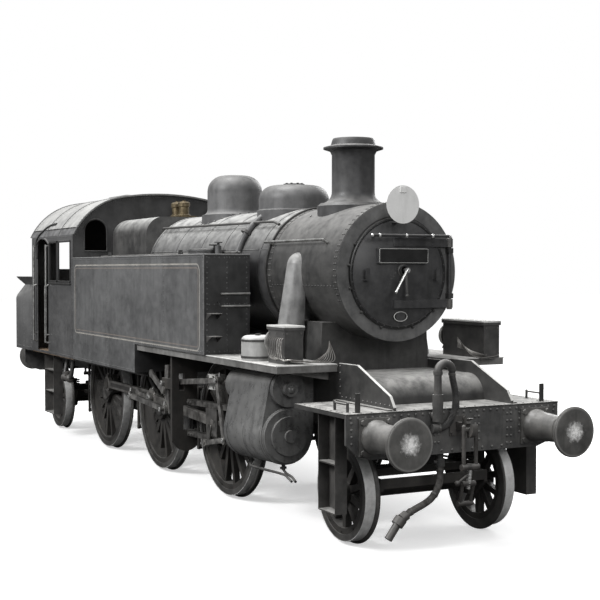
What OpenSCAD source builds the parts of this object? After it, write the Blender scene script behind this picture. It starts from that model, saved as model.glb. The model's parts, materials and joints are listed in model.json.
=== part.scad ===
/* [Overall] */
// Length over the buffer faces
length_over_buffers = 11824; // [11000:1:14200]
// Width over the tank and cab sides
body_w = 2660; // [2200:1:3200]
// Height of the boiler's centre line above the rails
boiler_pitch = 2487; // [2400:1:3000]
// Height of the front and rear platforms above the rails
platform_z = 1262; // [1200:1:1400]
// Half the width of the buffer beams and the front platform
beam_half_w = 1155; // [1100:1:1300]

/* [Wheels] */
// Tread diameter of the six coupled wheels
driver_d = 1524; // [1300:1:1830]
// Tread diameter of the truck wheels
pony_d = 914; // [800:1:1000]
// Distance from the main axle to the front coupled axle
front_spacing = 2057; // [2000:1:2500]
// Distance from the main axle to the rear coupled axle
rear_spacing = 2134; // [2050:1:2500]
// Distance from the front coupled axle to the leading truck axle
lead_spacing = 2591; // [2500:1:3000]
// Distance from the rear coupled axle to the trailing truck axle
trail_spacing = 2438; // [2300:1:2900]
// Distance between the inner faces of the tyres
back_to_back = 1360; // [1340:1:1380]
// Width of a tyre
tyre_w = 140; // [120:1:150]
// Thickness of a tyre at the tread
tyre_t = 66; // [50:1:90]
// Height of a flange outside the tread
flange_h = 30; // [26:1:34]
// Radius of the coupled axles
axle_r = 95; // [80:1:110]
// Radius of the truck axles
pony_axle_r = 75; // [60:1:90]
// Spokes in a coupled wheel
driver_spokes = 16; // [12:1:20]
// Spokes in a truck wheel
pony_spokes = 10; // [8:1:14]

/* [Motion] */
// Throw of the crank pins
crank_throw = 305; // [250:1:340]
// Angle of the right-hand crank above the forward direction
right_crank_a = 30; // [0:1:60]
// Length of the connecting rods between centres
con_rod_l = 1950; // [1850:1:2050]
// Distance from the centre line to each cylinder's axis
cylinder_y = 1010; // [980:1:1060]
// Length of a cylinder's casing
cylinder_l = 875; // [800:1:900]
// Radius of a cylinder's casing
cylinder_r = 280; // [240:1:300]
// Radius of a valve chest's casing
chest_r = 185; // [150:1:200]

/* [Boiler] */
// Radius of the smokebox
smokebox_r = 675; // [600:1:810]
// Length of the smokebox
smokebox_l = 1526; // [1300:1:1700]
// Length of the clothed barrel
barrel_l = 3478; // [3000:1:3600]
// Radius of the clothed barrel where it meets the smokebox
barrel_front_r = 690; // [620:1:830]
// Radius of the clothed barrel at the firebox
barrel_back_r = 724; // [640:1:870]
// Radius of the smokebox door
door_r = 545; // [480:1:580]
// Height of the chimney top above the rails
chimney_top_z = 3862; // [3700:1:4200]
// Radius of the chimney's barrel
chimney_r = 223; // [190:1:260]
// Height of the dome top above the rails
dome_top_z = 3684; // [3600:1:3900]
// Radius of the dome
dome_r = 342; // [280:1:380]
// Height of the top feed casing above the rails
feed_top_z = 3480; // [3400:1:3600]
// Radius of the top feed casing
feed_r = 400; // [340:1:440]

/* [Tanks and cab] */
// Height of the side tanks above the running plate
tank_h = 1060; // [850:1:1300]
// Distance from the cab front to the front of the tanks
tank_l = 4680; // [4200:1:4800]
// Length of the lowered rear part of each tank
low_tank_l = 2530; // [2200:1:2700]
// Gap between the boiler clothing and the tanks
tank_gap = 76; // [60:1:120]
// Length of the cab
cab_l = 2150; // [1900:1:2300]
// Height of the cab's eaves above the rails
eave_z = 3000; // [2900:1:3300]
// Thickness of the cab and bunker sheets
sheet_t = 8; // [5:1:12]
// Radius of the roof's middle
roof_r = 3590; // [3400:1:3800]
// Radius of the roof's shoulders
shoulder_r = 950; // [800:1:1000]
// Height of the bunker's top edge above the rails
bunker_top_z = 2400; // [2350:1:2600]

/* [Frames and buffers] */
// Distance between the two frame plates
frame_gap = 1258; // [1200:1:1280]
// Thickness of a frame plate
frame_t = 25; // [20:1:32]
// Thickness of a buffer beam
beam_t = 30; // [20:1:40]
// Length of a buffer from the beam to its face
buffer_l = 582; // [500:1:640]
// Distance from the centre line to each buffer
buffer_y = 870; // [850:1:900]
// Height of the buffers above the rails
buffer_z = 1054; // [1000:1:1070]
// Radius of a buffer head
buffer_head_r = 228; // [200:1:240]

/* [Hidden] */
$fn = 64;
// sides of the large curves that other pieces are cut to
fine = 256;

// running clearance of a shaft in its bore, and of an open rod pivot
running_fit = 0.05;
open_pivot = 1;
// clearance between a moving piece and a fixed one
move_gap = 5;
// an amount by which a cut passes a surface
eps = 1;

// places of the axles
x_front = front_spacing;
x_rear = -rear_spacing;
x_lead = x_front + lead_spacing;
x_trail = x_rear - trail_spacing;
driver_r = driver_d / 2;
pony_r = pony_d / 2;
tyre_in = back_to_back / 2;
tyre_out = tyre_in + tyre_w;

// frames: inner and outer faces, levels of the edges
frame_in = frame_gap / 2;
frame_out = frame_in + frame_t;
plate_t = 20;
arch_clear = 36;
running_z = driver_d + flange_h + arch_clear + plate_t;
frame_mid_z = running_z - plate_t;
platform_t = 12;
frame_end_z = platform_z - platform_t;
pony_clear = 46;
frame_pony_z = pony_d + flange_h + pony_clear;
horn_drop = 142;
frame_low_z = driver_r - horn_drop;
horn_half_w = 130;
horn_up = 150;
axlebox_y0 = frame_in - 60;
axlebox_y1 = tyre_in - 12;
extension_top_z = running_z + 10;

// ends of the engine
beam_x = length_over_buffers / 2 - buffer_l;
beam_back_x = beam_x - beam_t;
beam_low_z = platform_z - 409;

// boiler
smokebox_back_x = 2785;
smokebox_front_x = smokebox_back_x + smokebox_l;
smokebox_wall = 16;
barrel_back_x = smokebox_back_x - barrel_l;
chimney_x = smokebox_back_x + 668;
feed_x = barrel_back_x + 2803;
dome_x = barrel_back_x + 1176;
firebox_half_w = barrel_back_r + 19;
firebox_top_z = boiler_pitch + barrel_back_r;
firebox_corner_r = 240;
firebox_low_half_w = frame_in - 29;
firebox_waist_z = boiler_pitch - 800;
firebox_low_z = 1050;
tank_in = firebox_half_w + tank_gap - 19;
body_half_w = body_w / 2;

// cab and tanks
cab_front_x = -2050;
cab_back_x = cab_front_x - cab_l;
tank_front_x = cab_front_x + tank_l;
low_tank_x = cab_front_x + low_tank_l;
tank_top_z = running_z + tank_h;
low_tank_in = tyre_out + 80;
cab_low_z = platform_z;
floor_z = cab_low_z + 28;
backhead_x = cab_front_x - 250;
doorway_x0 = cab_back_x + 327;
doorway_x1 = doorway_x0 + 573;
doorway_top_z = eave_z - 40;
window_x0 = doorway_x1 + 70;
window_x1 = cab_front_x - 100;
window_z0 = eave_z - 677;
window_z1 = eave_z - 75;
// where the roof's middle arc meets the shoulder arc, and the shoulder's centre
roof_top_z = eave_z + 590;
shoulder_a = 10.2;
shoulder_y = body_half_w - 861;
shoulder_z = eave_z - 402;
bunker_back_x = -beam_back_x;
bunker_corner_r = 130;
bunker_floor_z = 1700;
// height where the bunker's sides and back start to slope in, its waist, and how far waist and lip are in
bunker_slope_z = 2041;
bunker_waist_z = bunker_top_z - 130;
bunker_waist = 140;
bunker_lip = 18;

// motion: the cylinder line climbs from the main axle towards the front
incline_a = 1.97;
cylinder_back_x = 3045;
chest_up = 453;
slide_drop = 180;
slide_bar_t = 60;
slide_bar_w = 90;
motion_x0 = 1430;
motion_x1 = 1480;
motion_out = 1240;
pin_r = 50;
main_pin_r = 65;
rod_y0 = tyre_out + 32;
rod_t = 50;
wheel_face_y = tyre_out + 20;
con_y0 = cylinder_y - 25;
con_t = 50;
big_end_y0 = rod_y0 + rod_t + 33;
return_y0 = con_y0 + con_t + 5;
return_t = 40;
eccentric_y0 = return_y0 + return_t + 70;
eccentric_t = 35;
return_throw = 205;
link_x = 1056;
link_foot_z = 868;
link_pivot_z = 1180;
link_y0 = return_y0 + 60;
link_t = 45;
// truck pivots
pivot_front_x = 2950;
pivot_rear_x = -2950;
pivot_pin_r = 45;
truck_low_z = 330;
truck_top_z = 600;

// smokebox door hinge
hinge_x = smokebox_front_x + 34;
hinge_y = door_r + 45;
hinge_r = 20;
door_z = boiler_pitch - 15;
door_gap = 5;
door_seat_r = door_r - 30;
dish_h = 75;
dish_r = (door_seat_r * door_seat_r + dish_h * dish_h) / (2 * dish_h);
dish_t = 12;
door_back_x = smokebox_front_x + door_gap;
dish_top_x = door_back_x + 20 + dish_h;
function dish_x(r) = dish_top_x - r * r / (2 * dish_r);

// crank positions, as angles above the forward direction
left_crank_a = right_crank_a + 90;
function crank_a(side) = side < 0 ? right_crank_a : left_crank_a;
function polar(r, a) = [r * cos(a), r * sin(a)];
function arc(c, r, a0, a1, n) = [for (i = [0 : n]) c + polar(r, a0 + (a1 - a0) * i / n)];

// how far along the cylinder line the crosshead pin lies
function across_line(p) = p[0] * sin(incline_a) - p[1] * cos(incline_a);
function along_line(p) = p[0] * cos(incline_a) + p[1] * sin(incline_a);
function crosshead_s(side) = let (p = polar(crank_throw, crank_a(side)))
    along_line(p) + sqrt(con_rod_l * con_rod_l - across_line(p) * across_line(p));

// routes of the two hoses, above the rails
vacuum_route = [[5400, -106, 1600], [5400, -106, 1575], [5401, -101, 1540], [5403, -90, 1490],
    [5405, -79, 1440], [5407, -73, 1390], [5408, -72, 1340], [5408, -76, 1290],
    [5406, -88, 1235], [5402, -108, 1185], [5395, -136, 1140], [5386, -167, 1110],
    [5376, -198, 1097], [5370, -215, 1095], [5370, -240, 1095]];
vacuum_hose_r = 31;
heat_route = [[5250, -130, 730], [5251, -130, 690], [5254, -132, 645], [5259, -140, 600],
    [5266, -156, 557], [5275, -182, 518], [5286, -216, 484], [5298, -257, 456],
    [5310, -303, 434], [5321, -352, 416], [5330, -403, 400], [5337, -454, 384],
    [5342, -503, 366], [5345, -548, 344]];
heat_hose_r = 32;
hose_sides = 10;

// vector helpers for the swept tubes
function unit(v) = v / norm(v);
function tangent(p, i) = i == 0 ? unit(p[1] - p[0])
    : i == len(p) - 1 ? unit(p[i] - p[i - 1]) : unit(p[i + 1] - p[i - 1]);
function side_of(t) = unit(cross(t, [1, 0, 0]));
function ring_at(p, i, r) = let (t = tangent(p, i), u = side_of(t), v = cross(t, u))
    [for (k = [0 : hose_sides - 1]) let (q = polar(r, 360 * k / hose_sides)) p[i] + u * q[0] + v * q[1]];

// ---- general helpers ----

// raises a shape drawn above the rails so that the flanges stand on zero
module rail_level() translate([0, 0, flange_h]) children();

// draws a left-hand shape and its mirror image
module both_sides() {
    children();
    mirror([0, 1, 0]) children();
}

module block(x0, x1, y0, y1, z0, z1) translate([x0, y0, z0]) cube([x1 - x0, y1 - y0, z1 - z0]);

module x_rod(x0, x1, r, y, z) translate([x0, y, z]) rotate([0, 90, 0]) cylinder(h = x1 - x0, r = r);

module y_rod(y0, y1, r, x, z) translate([x, y0, z]) rotate([-90, 0, 0]) cylinder(h = y1 - y0, r = r);

module z_rod(z0, z1, r, x, y) translate([x, y, z0]) cylinder(h = z1 - z0, r = r);

// a plate with its outline in X and Z
module side_plate(y0, t) translate([0, y0 + t, 0]) rotate([90, 0, 0]) linear_extrude(t) children();

// a plate with its outline in Y and Z
module cross_plate(x0, t) translate([x0, 0, 0]) rotate([90, 0, 90]) linear_extrude(t) children();

// a straight bar of round section between two points
module rod_between(a, b, r) {
    d = b - a;
    translate(a) rotate([0, acos(d[2] / norm(d)), atan2(d[1], d[0])]) cylinder(h = norm(d), r = r);
}

// a flat bar between two pins in one upright plane
module link_bar(a, b, w, r_eye) {
    d = b - a;
    translate(a) circle(r_eye);
    translate(b) circle(r_eye);
    translate(a) rotate(atan2(d[1], d[0])) translate([0, -w / 2]) square([norm(d), w]);
}

// the outline of a belt round two circles, the second straight above the first
module belt(r0, r1, rise) {
    lean = asin((r0 - r1) / rise);
    circle(r0);
    translate([0, rise]) circle(r1);
    polygon([polar(r0, 180 - lean), polar(r0, lean), [0, rise] + polar(r1, lean),
        [0, rise] + polar(r1, 180 - lean)]);
}

module swept_tube(p, r) {
    n = len(p);
    polyhedron(
        points = [for (i = [0 : n - 1]) each ring_at(p, i, r)],
        faces = concat(
            [[for (k = [0 : hose_sides - 1]) k]],
            [for (i = [0 : n - 2], k = [0 : hose_sides - 1]) let (m = (k + 1) % hose_sides)
                [i * hose_sides + k, (i + 1) * hose_sides + k, (i + 1) * hose_sides + m, i * hose_sides + m]],
            [[for (k = [hose_sides - 1 : -1 : 0]) (n - 1) * hose_sides + k]]));
}

// places a shape on one side's cylinder line, x along the line from the main axle
module on_cylinder_line(side) translate([0, side * cylinder_y, driver_r])
    rotate([0, -incline_a, 0]) children();

// ---- frames ----

module frame_outline() {
    // [x, z] along the top from the rear, then back along the bottom
    difference() {
        polygon([[-beam_back_x, frame_end_z], [cab_front_x, frame_end_z], [cab_front_x, frame_mid_z],
            [4290, frame_mid_z], [4320, extension_top_z], [4661, extension_top_z],
            [beam_back_x - 67, platform_z + 123], [beam_back_x, platform_z + 28],
            [beam_back_x, beam_low_z + 52], [beam_back_x - 120, frame_pony_z],
            [pivot_front_x + 300, frame_pony_z], [pivot_front_x, frame_low_z],
            [pivot_rear_x + 100, frame_low_z], [pivot_rear_x - 200, frame_pony_z],
            [-beam_back_x + 120, frame_pony_z], [-beam_back_x, beam_low_z + 52]]);
        for (x = [x_rear, 0, x_front])
            translate([x - horn_half_w, frame_low_z - eps])
                square([2 * horn_half_w, driver_r + horn_up - frame_low_z + eps]);
    }
}

module main_frames() color("dimgray") rail_level() both_sides() side_plate(frame_in, frame_t) frame_outline();

module frame_stretchers() color("dimgray") rail_level() {
    // [centre x, half length, low z, high z]
    for (s = [[beam_back_x - 400, 20, frame_pony_z + 20, platform_z - 40],
        [x_lead, 110, frame_pony_z - 40, frame_pony_z + 60],
        [1250, 15, frame_low_z + 100, frame_mid_z - 120], [-460, 15, frame_low_z + 60, frame_mid_z - 420],
        [x_trail, 110, frame_pony_z - 40, frame_pony_z + 60],
        [-beam_back_x + 400, 20, frame_pony_z + 20, platform_z - 60]])
        block(s[0] - s[1], s[0] + s[1], -frame_in, frame_in, s[2], s[3]);
    for (x = [pivot_front_x, pivot_rear_x]) {
        block(x - 90, x + 90, -frame_in, frame_in, truck_top_z + 160, truck_top_z + 420);
        z_rod(truck_low_z + 150, truck_top_z + 160 + eps, pivot_pin_r, x, 0);
        z_rod(truck_low_z + 130, truck_low_z + 150 + eps, pivot_pin_r + 30, x, 0);
    }
}

module beam_outline() polygon([[-beam_half_w, frame_end_z], [-beam_half_w, beam_low_z + 140],
    [-beam_half_w + 95, beam_low_z + 50], [-beam_half_w + 240, beam_low_z],
    [beam_half_w - 240, beam_low_z], [beam_half_w - 95, beam_low_z + 50],
    [beam_half_w, beam_low_z + 140], [beam_half_w, frame_end_z]]);

module buffer_beams() color("dimgray") rail_level() {
    cross_plate(beam_back_x, beam_t) beam_outline();
    cross_plate(-beam_x, beam_t) beam_outline();
}

module buffer() rotate([0, 90, 0]) {
    // [distance from the beam, radius] of the turned housing, ram and head
    translate([-165, -165, 0]) cube([330, 330, 25]);
    rotate_extrude() polygon([[0, 20], [150, 20], [150, 60], [138, 80], [118, 390], [130, 400],
        [130, 430], [95, 430], [95, buffer_l - 60], [160, buffer_l - 42],
        [buffer_head_r - 6, buffer_l - 36], [buffer_head_r, buffer_l - 30],
        [buffer_head_r, buffer_l - 14], [buffer_head_r - 10, buffer_l - 6], [110, buffer_l],
        [0, buffer_l]]);
}

module buffers() color("gray") rail_level() both_sides() {
    translate([beam_x, buffer_y, buffer_z]) buffer();
    translate([-beam_x, buffer_y, buffer_z]) rotate([0, 0, 180]) buffer();
}

// drawhook with its screw coupling hanging from it, pointing forwards
module coupling() {
    hook_z = platform_z - 162;
    reach = beam_x + 190;
    block(beam_x, beam_x + 14, -90, 90, hook_z - 90, hook_z + 90);
    side_plate(-25, 50) difference() {
        union() {
            translate([beam_x + 10, hook_z - 38]) square([130, 76]);
            translate([reach, hook_z]) circle(88);
        }
        translate([reach + 8, hook_z + 6]) circle(34);
        translate([reach + 8, hook_z + 10]) rotate(25) square([120, 62]);
    }
    link_x0 = reach + 8;
    link_low_z = hook_z - 350;
    // bow over the hook, its two legs and the trunnion nut
    y_rod(-76, 76, 20, link_x0, hook_z - 13);
    both_sides() {
        z_rod(link_low_z, hook_z + 14, 18, link_x0, 66);
        translate([link_x0, 66, hook_z + 14]) sphere(19);
    }
    y_rod(-92, 92, 30, link_x0, link_low_z);
    // screw with its tommy bar and the lower bow
    rod_between([link_x0, 0, link_low_z + 30], [link_x0 - 30, 0, link_low_z - 190], 21);
    rod_between([link_x0 - 12, 0, link_low_z - 60], [link_x0 + 20, -150, link_low_z - 130], 11);
    translate([link_x0 + 20, -150, link_low_z - 130]) sphere(26);
    y_rod(-70, 70, 26, link_x0 - 24, link_low_z - 150);
    both_sides() rod_between([link_x0 - 24, 58, link_low_z - 150], [link_x0 - 74, 58, link_low_z - 330], 16);
    y_rod(-80, 80, 22, link_x0 - 74, link_low_z - 334);
}

module couplings() color("dimgray") rail_level() {
    coupling();
    rotate([0, 0, 180]) coupling();
}

module lamp_iron(h) {
    block(-5, 5, -25, 25, 0, h);
    block(-45, 5, -25, 25, 0, 8);
}

module front_platform() color("dimgray") rail_level() {
    platform_back_x = 4364;
    valance_z = platform_z - 40;
    difference() {
        block(platform_back_x, beam_x + 4, -beam_half_w - 2, beam_half_w + 2, frame_end_z, platform_z);
        both_sides() block(platform_back_x - eps, beam_back_x, frame_in, frame_out, frame_end_z - eps,
            platform_z + eps);
    }
    both_sides() {
        block(platform_back_x, beam_back_x, beam_half_w - 10, beam_half_w + 2, valance_z, frame_end_z + eps);
        block(platform_back_x, platform_back_x + 12, frame_out, beam_half_w, valance_z, frame_end_z + eps);
        translate([beam_x - 60, beam_half_w - 150, platform_z - 2]) lamp_iron(172);
        // low grab loop beside the lamp iron
        grab_y = beam_half_w - 90;
        x_rod(beam_x - 360, beam_x - 130, 9, grab_y, platform_z + 68);
        for (x = [beam_x - 360, beam_x - 130])
            z_rod(platform_z - 2, platform_z + 84, 13, x, grab_y);
    }
    // curved apron between the frame plates
    apron_r = 240;
    apron_x = 4640;
    side_plate(-frame_in, frame_gap) {
        difference() {
            translate([apron_x, platform_z - eps]) circle(apron_r);
            translate([apron_x, platform_z - eps]) circle(apron_r - 8);
            translate([apron_x - apron_r - eps, platform_z - apron_r - 2 * eps])
                square([2 * apron_r + 2 * eps, apron_r + eps]);
            translate([apron_x - apron_r - eps, platform_z - 2 * eps]) square([apron_r + eps,
                    apron_r + 4 * eps]);
        }
        translate([chimney_x + 450, platform_z + apron_r - 8 - eps]) square([apron_x - chimney_x - 450, 8]);
    }
}

module running_plates() color("dimgray") rail_level() both_sides() {
    edge_w = 12;
    edge_drop = 55;
    plate_front_x = 4287;
    outer = body_half_w - 30;
    block(cab_front_x, low_tank_x + 5, frame_out, low_tank_in - 5, frame_mid_z, running_z);
    block(low_tank_x + 5, plate_front_x, frame_out, outer, frame_mid_z, running_z);
    block(low_tank_x + 5, plate_front_x, outer - edge_w, outer, frame_mid_z - edge_drop, frame_mid_z + eps);
    block(plate_front_x - edge_w, plate_front_x, frame_out, outer, frame_mid_z - edge_drop,
            frame_mid_z + eps);
    // brackets from the frames under the plate
    for (x = [2700, 4100])
        cross_plate(x, 12) polygon([[frame_out, frame_mid_z - 150], [outer - edge_w, frame_mid_z - 40],
            [outer - edge_w, frame_mid_z + eps], [frame_out, frame_mid_z + eps]]);
}

// a hanging step plate with treads
module step(x0, x1, y0, top_z, tread_z, tread_w) {
    low_z = min(tread_z) - 12;
    block(x0 + 4, x1 - 4, y0, y0 + 10, low_z, top_z);
    for (z = tread_z)
        block(x0, x1, y0, y0 + tread_w, z - 12, z);
    // hangers that hold the treads' ends
    for (x = [x0, x1 - 8])
        block(x, x + 8, y0, y0 + tread_w, low_z, top_z);
}

module footsteps() color("dimgray") rail_level() both_sides() {
    cab_step_y = body_half_w - 230;
    step(4750, 5065, beam_half_w - 162, frame_end_z, [353, 790], 120);
    step(doorway_x0 + 40, doorway_x1 - 40, cab_step_y, cab_low_z - 12, [353, 680, 1000], 140);
    // plate that carries the cab steps out from the frames
    block(doorway_x0 + 60, doorway_x1 - 60, frame_out, cab_step_y + 1, cab_low_z - 60, cab_low_z - 48);
}

// ---- boiler ----

module smokebox_saddle() color("dimgray") rail_level() difference() {
    union() {
        block(chimney_x - 350, chimney_x + 450, -frame_in, frame_in, frame_mid_z - 560, frame_mid_z);
        cross_plate(chimney_x - 350, 800) polygon([[-frame_in, frame_mid_z - eps], [frame_in,
                frame_mid_z - eps],
            [frame_in - 20, boiler_pitch - 500], [-frame_in + 20, boiler_pitch - 500]]);
    }
    x_rod(chimney_x - 360, chimney_x + 460, smokebox_r, 0, boiler_pitch, $fn = fine);
}

module smokebox() color("dimgray") rail_level() difference() {
    union() {
        x_rod(smokebox_back_x, smokebox_front_x, smokebox_r, 0, boiler_pitch);
        // lugs of the door hinge on the ring
        for (dz = [-225, 225])
            block(smokebox_front_x - eps, hinge_x + 28, hinge_y - 28, hinge_y + 28, door_z + dz - 25,
                    door_z + dz + 25);
    }
    x_rod(smokebox_back_x + smokebox_wall, smokebox_front_x - smokebox_wall, smokebox_r - smokebox_wall,
        0, boiler_pitch);
    x_rod(smokebox_front_x - 2 * smokebox_wall, smokebox_front_x + eps, door_seat_r, 0, door_z);
    z_rod(boiler_pitch, boiler_pitch + smokebox_r + eps, chimney_r - 45, chimney_x, 0);
    z_rod(door_z - 300, door_z + 300, hinge_r + running_fit, hinge_x, hinge_y);
}

module smokebox_door() color("dimgray") rail_level() {
    strap_h = 80;
    strap_z = 300;
    rim_x = door_back_x + 20;
    difference() {
        x_rod(door_back_x, rim_x, door_r, 0, door_z);
        x_rod(door_back_x - eps, rim_x + eps, door_seat_r - 8, 0, door_z);
    }
    translate([0, 0, door_z]) rotate([0, 90, 0]) rotate_extrude() polygon(concat(
        [for (i = [0 : 10]) let (r = door_seat_r * i / 10) [r, dish_x(r)]],
        [for (i = [10 : -1 : 0]) let (r = door_seat_r * i / 10) [r, dish_x(r) - dish_t]]));
    // two hinge straps that follow the dish out to the hinge rod
    strap_in = strap_z + strap_h / 2;
    strap_out = strap_z - strap_h / 2;
    for (s = [-1, 1])
        translate([0, 0, door_z + s * strap_z - strap_h / 2]) linear_extrude(strap_h) polygon(concat(
            [for (i = [0 : 5]) let (y = -90 + 94 * i) [dish_x(norm([y, strap_in])) - 2, y]],
            [[rim_x - 2, door_seat_r - 20], [rim_x - 2, hinge_y + 10], [rim_x + 20, hinge_y + 10],
                [rim_x + 20, door_seat_r - 20]],
            [for (i = [5 : -1 : 0]) let (y = -90 + 94 * i) [dish_x(norm([y, strap_out])) + 12, y]]));
    z_rod(door_z - strap_z - 45, door_z + strap_z + 45, hinge_r, hinge_x, hinge_y);
    // central dart with its two handles
    x_rod(dish_top_x - 14, dish_top_x + 36, 48, 0, door_z + 30);
    x_rod(dish_top_x + 20, dish_top_x + 96, 17, 0, door_z + 30);
    rod_between([dish_top_x + 56, 0, door_z + 30], [dish_top_x + 62, 10, door_z - 210], 13);
    rod_between([dish_top_x + 84, 0, door_z + 30], [dish_top_x + 94, -130, door_z - 175], 13);
    // blank number plate and blank oval plate
    block(dish_top_x - 30, dish_top_x + 22, -280, 280, door_z + 96, door_z + 241);
    x_rod(dish_x(420) - 6, dish_x(420) + 14, 52, 0, door_z - 420);
    // handrail on its three posts
    rail_z = boiler_pitch + 348;
    rod_between([smokebox_front_x + 169, -381, rail_z], [smokebox_front_x + 169, 500, rail_z], 14);
    for (y = [-300, 0, 300])
        x_rod(rim_x + 20 - abs(y) / 12, smokebox_front_x + 170, 12, y, rail_z);
    // lamp irons at the sides and the taller one at the top
    for (y = [-400, 400])
        translate([dish_top_x + 18, y, door_z - 60]) {
            block(-70, 0, -22, 22, -8, 0);
            block(-8, 0, -22, 22, -8, 110);
        }
    block(rim_x - 6, smokebox_front_x + 183, -78, -28, boiler_pitch + 473, boiler_pitch + 481);
    block(smokebox_front_x + 173, smokebox_front_x + 183, -78, -28, boiler_pitch + 473, boiler_pitch + 640);
}

module headcode_disc() color("white") rail_level() {
    disc_r = 183;
    disc_t = 4;
    disc_x = smokebox_front_x + 183;
    disc_z = boiler_pitch + 645;
    x_rod(disc_x, disc_x + disc_t, disc_r, -53, disc_z);
    block(disc_x + disc_t - eps, disc_x + disc_t + 12, -88, -18, disc_z + 115, disc_z + 165);
}

module chimney() color("dimgray") rail_level() difference() {
    flue_r = chimney_r - 45;
    base_z = boiler_pitch + smokebox_r - 160;
    flare_z = boiler_pitch + smokebox_r + 30;
    translate([chimney_x, 0, 0]) rotate_extrude($fn = fine) polygon(concat(
        [[flue_r, base_z], [chimney_r + 150, base_z], [chimney_r + 150, flare_z - 30]],
        arc([chimney_r + 120, flare_z + 120], 120, 270, 180, 8),
        [[chimney_r, chimney_top_z - 170]],
        [[chimney_r + 20, chimney_top_z - 130], [chimney_r + 88, chimney_top_z - 108],
            [chimney_r + 88, chimney_top_z - 92], [chimney_r + 12, chimney_top_z - 70],
            [chimney_r - 2, chimney_top_z - 20], [chimney_r - 12, chimney_top_z],
            [flue_r, chimney_top_z]]));
    x_rod(chimney_x - 450, chimney_x + 450, smokebox_r, 0, boiler_pitch, $fn = fine);
}

module barrel_shape() translate([barrel_back_x, 0, boiler_pitch]) rotate([0, 90, 0])
    cylinder(h = barrel_l, r1 = barrel_back_r, r2 = barrel_front_r, $fn = fine);

module boiler_barrel() color("gray") rail_level() barrel_shape();

// radius of the clothed barrel at x
function barrel_r(x) = barrel_back_r + (barrel_front_r - barrel_back_r) * (x - barrel_back_x) / barrel_l;

// a turned casing with a rounded crown that sits on the barrel
module barrel_casing(x, r, top_z, crown_r, flare) difference() {
    seat_z = boiler_pitch + barrel_r(x);
    translate([x, 0, 0]) rotate_extrude($fn = fine) polygon(concat(
        [[0, seat_z - 200], [r + flare, seat_z - 200], [r + flare, seat_z - 10]],
        arc([r + flare, seat_z + flare - 10], flare, 270, 180, 8),
        arc([r - crown_r, top_z - crown_r], crown_r, 0, 90, 12),
        [[0, top_z]]));
    barrel_shape();
}

module top_feed() color("gray") rail_level() {
    barrel_casing(feed_x, feed_r, feed_top_z - 20, 170, 20);
    z_rod(feed_top_z - 30, feed_top_z, 120, feed_x, 0);
    // feed pipes curving down both sides of the barrel
    feed_pipe_r = 34;
    feed_ring_r = barrel_r(feed_x) + feed_pipe_r + 2;
    difference() {
        translate([feed_x, 0, boiler_pitch]) rotate([0, 90, 0]) rotate_extrude($fn = fine)
            translate([feed_ring_r, 0]) circle(feed_pipe_r);
        block(feed_x - 100, feed_x + 100, -1000, 1000, 0, boiler_pitch + 60);
        block(feed_x - 100, feed_x + 100, -feed_r + 40, feed_r - 40, 0, boiler_pitch + 1000);
        barrel_shape();
    }
}

module dome() color("gray") rail_level() barrel_casing(dome_x, dome_r, dome_top_z, 200, 70);

module firebox_outline() {
    // [y, z]: Belpaire crown, straight sides, waist and the part between the frames
    corner_y = firebox_half_w - firebox_corner_r;
    corner_z = firebox_top_z - firebox_corner_r;
    both_sides_2d() translate([corner_y, corner_z]) circle(firebox_corner_r);
    translate([-corner_y, corner_z]) square([2 * corner_y, firebox_corner_r]);
    polygon([[-firebox_half_w, corner_z], [firebox_half_w, corner_z],
        [firebox_half_w, boiler_pitch - 350], [firebox_low_half_w, firebox_waist_z],
        [firebox_low_half_w, firebox_low_z], [-firebox_low_half_w, firebox_low_z],
        [-firebox_low_half_w, firebox_waist_z], [-firebox_half_w, boiler_pitch - 350]]);
}

module both_sides_2d() {
    children();
    mirror([1, 0]) children();
}

module firebox() color("gray") rail_level() cross_plate(backhead_x, barrel_back_x - backhead_x)
    firebox_outline();

module safety_valves() color("dimgray") rail_level() {
    base_x = barrel_back_x - 650;
    block(base_x - 270, base_x + 270, -130, 130, firebox_top_z, firebox_top_z + 36);
    for (dx = [-130, 130])
        translate([base_x + dx, 0, firebox_top_z + 30]) rotate_extrude() polygon([[0, 0], [92, 0], [92, 24],
            [70, 34], [70, 130], [82, 140], [82, 190], [60, 206], [24, 210], [24, 224], [0, 224]]);
    // whistle and its valve on the steam stand
    z_rod(firebox_top_z - eps + 1, firebox_top_z + 60, 40, cab_front_x + 130, 180);
    z_rod(firebox_top_z + 50, firebox_top_z + 190, 24, cab_front_x + 130, 180);
    z_rod(firebox_top_z + 110, firebox_top_z + 180, 36, cab_front_x + 130, 180);
}

// ---- tanks, cab and bunker ----

module side_tank() {
    block(cab_front_x, tank_front_x, tank_in, body_half_w, running_z, tank_top_z);
    block(cab_front_x, low_tank_x, low_tank_in, body_half_w, cab_low_z, running_z + eps);
    // filler with its lid, clamp and vent near the front
    filler_x = tank_front_x - 560;
    filler_y = (tank_in + body_half_w) / 2;
    z_rod(tank_top_z - eps, tank_top_z + 40, 200, filler_x, filler_y);
    z_rod(tank_top_z + 35, tank_top_z + 58, 215, filler_x, filler_y);
    block(filler_x - 230, filler_x + 230, filler_y - 20, filler_y + 20, tank_top_z + 57, tank_top_z + 74);
    z_rod(tank_top_z - eps, tank_top_z + 95, 34, filler_x + 330, filler_y);
    z_rod(tank_top_z + 90, tank_top_z + 130, 14, filler_x + 330, filler_y);
    z_rod(tank_top_z + 125, tank_top_z + 136, 46, filler_x + 330, filler_y);
}

module side_tanks() color("slategray") rail_level() both_sides() side_tank();

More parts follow.
